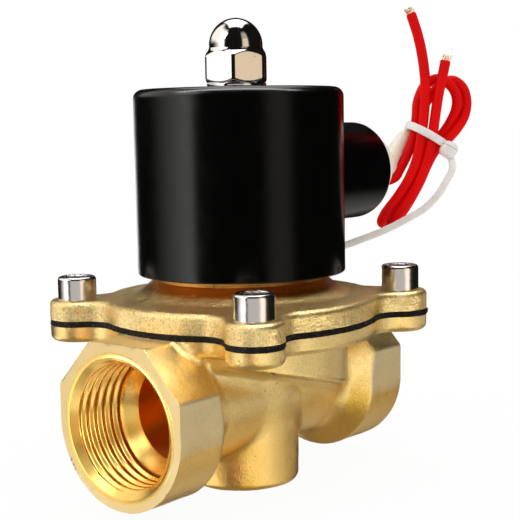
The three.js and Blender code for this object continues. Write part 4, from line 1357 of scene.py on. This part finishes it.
def build_world():
    """Soft light for matt surfaces, panels for shiny ones, plain white for the camera."""
    world = bpy.data.worlds.new("studio")
    scene.world = world
    world.use_nodes = True
    graph = Graph(world.node_tree, "ShaderNodeOutputWorld")
    elevation, panels = reflected_panels(graph)
    strength = graph.linear(elevation, low=0.55, high=1.15, start=-90, end=90)
    soft, shiny, plain = (
        graph.node("ShaderNodeBackground", {"Color": colour, "Strength": power})
        for colour, power in (((1.0, 0.99, 0.98), strength), (panels, 1.0), ((1, 1, 1), 1.0)))
    rays = graph.tree.nodes.new("ShaderNodeLightPath").outputs
    glossy, seen = Value(graph, rays["Is Glossy Ray"]), Value(graph, rays["Is Camera Ray"])
    lit = graph.node("ShaderNodeMixShader", {0: glossy, 1: soft, 2: shiny})
    graph.surface(graph.node("ShaderNodeMixShader", {0: seen, 1: lit, 2: plain}))
    # the surroundings differ by ray kind, so they are found by bounced rays only
    world.cycles.sampling_method = "NONE"


build_world()


# ------------------------------------------------------------------ lights
def light_group(name, belongs):
    """A collection of the objects that a light is limited to."""
    group = bpy.data.collections.new(name)
    for obj in scene.objects:
        if belongs(obj):
            group.objects.link(obj)
    return group


def named(*prefixes):
    return lambda obj: obj.name.startswith(prefixes)


def other_brass(obj):
    """Brass and copper parts other than the cover and the port linings."""
    return (obj.type == "MESH" and not obj.name.startswith(("cover_casting", "port_thread"))
            and any(m and m.name.startswith(("brass", "copper")) for m in obj.data.materials))


lit_brass = light_group("lit_brass", other_brass)
lit_cover = light_group("lit_cover", named("cover_casting"))
lit_ports = light_group("lit_ports", named("port_thread"))
lit_plated = light_group("lit_plated", named("acorn_nut_plated", "socket_screw"))
lit_screws = light_group("lit_screws", named("washer_plated", "socket_screw"))
lit_body = light_group("lit_body", named("valve_body_casting"))
lit_can = light_group("lit_can", named("coil_can_shell"))


def area(name, azimuth, elevation, distance, size, radiance, colour=(1, 1, 1), group=None,
         target=(0.0, 0.0, 0.045), spread=None):
    """An area light aimed at target from an azimuth and elevation in degrees.

    A spread makes it a small local light that nothing else blocks.
    """
    turn, rise = math.radians(azimuth), math.radians(elevation)
    level = np.array(FRONT) * math.cos(turn) + np.array(RIGHT) * math.sin(turn)
    outward = level * math.cos(rise) + np.array(UP) * math.sin(rise)
    data = bpy.data.lights.new(name, "AREA")
    data.shape = "RECTANGLE"
    data.size, data.size_y = size
    data.energy = radiance * math.pi * size[0] * size[1]
    data.color = colour
    light = bpy.data.objects.new(name, data)
    scene.collection.objects.link(light)
    if spread:
        data.spread = math.radians(spread)
        data.use_shadow = False
    light.location = np.array(target) + distance * outward
    light.rotation_mode = "QUATERNION"
    light.rotation_quaternion = Vector(outward).to_track_quat("Z", "Y")
    if group:
        light.light_linking.receiver_collection = group


area("key", azimuth=-62, elevation=40, distance=0.9, size=(0.4, 0.4), radiance=2.0)
area("can_rim", azimuth=0, elevation=84, distance=0.8, size=(1.5, 0.2), radiance=12.0,
     group=lit_can)
area("collar_top", azimuth=180, elevation=7, distance=0.09, size=(0.05, 0.03), radiance=1.5,
     colour=(1, 0.97, 0.9), group=lit_body, target=(-0.041, 0.003, 0.0448), spread=70)
area("collar_shoulder", azimuth=129, elevation=39, distance=0.08, size=(0.04, 0.04), radiance=1.0,
     colour=(1, 0.97, 0.9), group=lit_body, target=(-0.040, -0.016, 0.0385), spread=70)
area("plated_right", azimuth=43, elevation=-7, distance=0.8, size=(0.38, 1.1), radiance=0.42,
     colour=(1, 0.62, 0.26), group=lit_plated)
area("screw_front", azimuth=12, elevation=-9, distance=0.8, size=(1.7, 0.9), radiance=0.55,
     colour=(1, 0.965, 0.93), group=lit_screws)

# softboxes for the brass: azimuth, elevation, then radiance in red, green and blue
BRASS_LIGHTS = {
    "cover": (lit_cover, (
        (75, -32, 7.832, 7.765, 6.873), (0, 66, 10.413, 10.623, 10.838),
        (-14, 18, 3.767, 3.843, 3.921), (-108, -6, 2.133, 2.176, 2.220),
        (90, 66, 7.239, 7.385, 7.534), (45, -32, 2.670, 2.724, 2.780),
        (15, -32, 3.388, 3.396, 3.086), (122, -6, 0.758, 0.669, 0.576),
        (6, -6, 0.855, 0.872, 0.890), (-66, 18, 0.483, 0.492, 0.502),
        (-45, -32, 0.819, 0.836, 0.853), (129, 42, 0.664, 0.678, 0.692))),
    "body": (lit_brass, (
        (85, -6, 0.874, 0.891, 0.909), (75, -32, 1.023, 1.044, 1.040),
        (105, -32, 0.464, 0.342, 0.166), (45, -32, 1.194, 1.218, 1.243),
        (122, -6, 0.734, 0.708, 0.723), (52, -6, 0.890, 0.908, 0.927),
        (6, -6, 1.276, 1.302, 1.328), (24, -6, 1.117, 1.140, 1.163),
        (-88, -6, 0.554, 0.565, 0.576), (12, 18, 1.838, 1.875, 1.913),
        (90, 66, 4.982, 5.083, 5.185), (15, -32, 1.063, 0.905, 0.021),
        (34, 42, 4.105, 4.188, 4.273), (-40, 18, 3.693, 3.768, 3.844),
        (103, -6, 0.184, 0.188, 0.192), (-105, -32, 1.992, 2.032, 2.073),
        (64, 18, 1.092, 1.115, 1.137), (-14, 18, 0.870, 0.888, 0.906),
        (-12, -6, 0.511, 0.065, 0.010))),
    "port": (lit_ports, (
        (-15, -32, 1.328, 1.355, 1.382), (-8, 42, 2.546, 2.598, 2.650),
        (-50, 42, 0.706, 0.721, 0.735), (-105, -32, 6.096, 6.219, 6.344),
        (-12, -6, 0.387, 0.330, 0.292), (-45, -32, 0.782, 0.797, 0.813),
        (6, -6, 0.665, 0.678, 0.690), (38, 18, 10.167, 10.372, 9.843),
        (-40, 18, 0.586, 0.598, 0.610), (-30, -62, 0.647, 0.660, 0.673),
        (0, 66, 5.444, 5.554, 5.667), (24, -6, 2.480, 2.280, 1.500),
        (-30, -6, 0.583, 0.450, 0.200), (-14, 18, 0.267, 0.200, 0.100),
        (-90, -62, 0.557, 0.568, 0.579), (12, 18, 0.983, 0.820, 0.500),
        (-88, -6, 0.216, 0.221, 0.225), (30, -62, 4.419, 4.508, 4.600),
        (34, 42, 1.979, 2.019, 1.489))),
}
for key, (group, lights) in BRASS_LIGHTS.items():
    for azimuth, elevation, *rgb in lights:
        strongest = max(rgb)
        area(f"brass_{key}_{azimuth}_{elevation}", azimuth, elevation, distance=0.8,
             size=(0.34, 0.34), radiance=strongest, colour=tuple(c / strongest for c in rgb),
             group=group)

# ------------------------------------------------------------------ view
scene.view_settings.view_transform = "Standard"
scene.view_settings.look = "None"
scene.view_settings.exposure = 0.0
scene.view_settings.gamma = 1.0
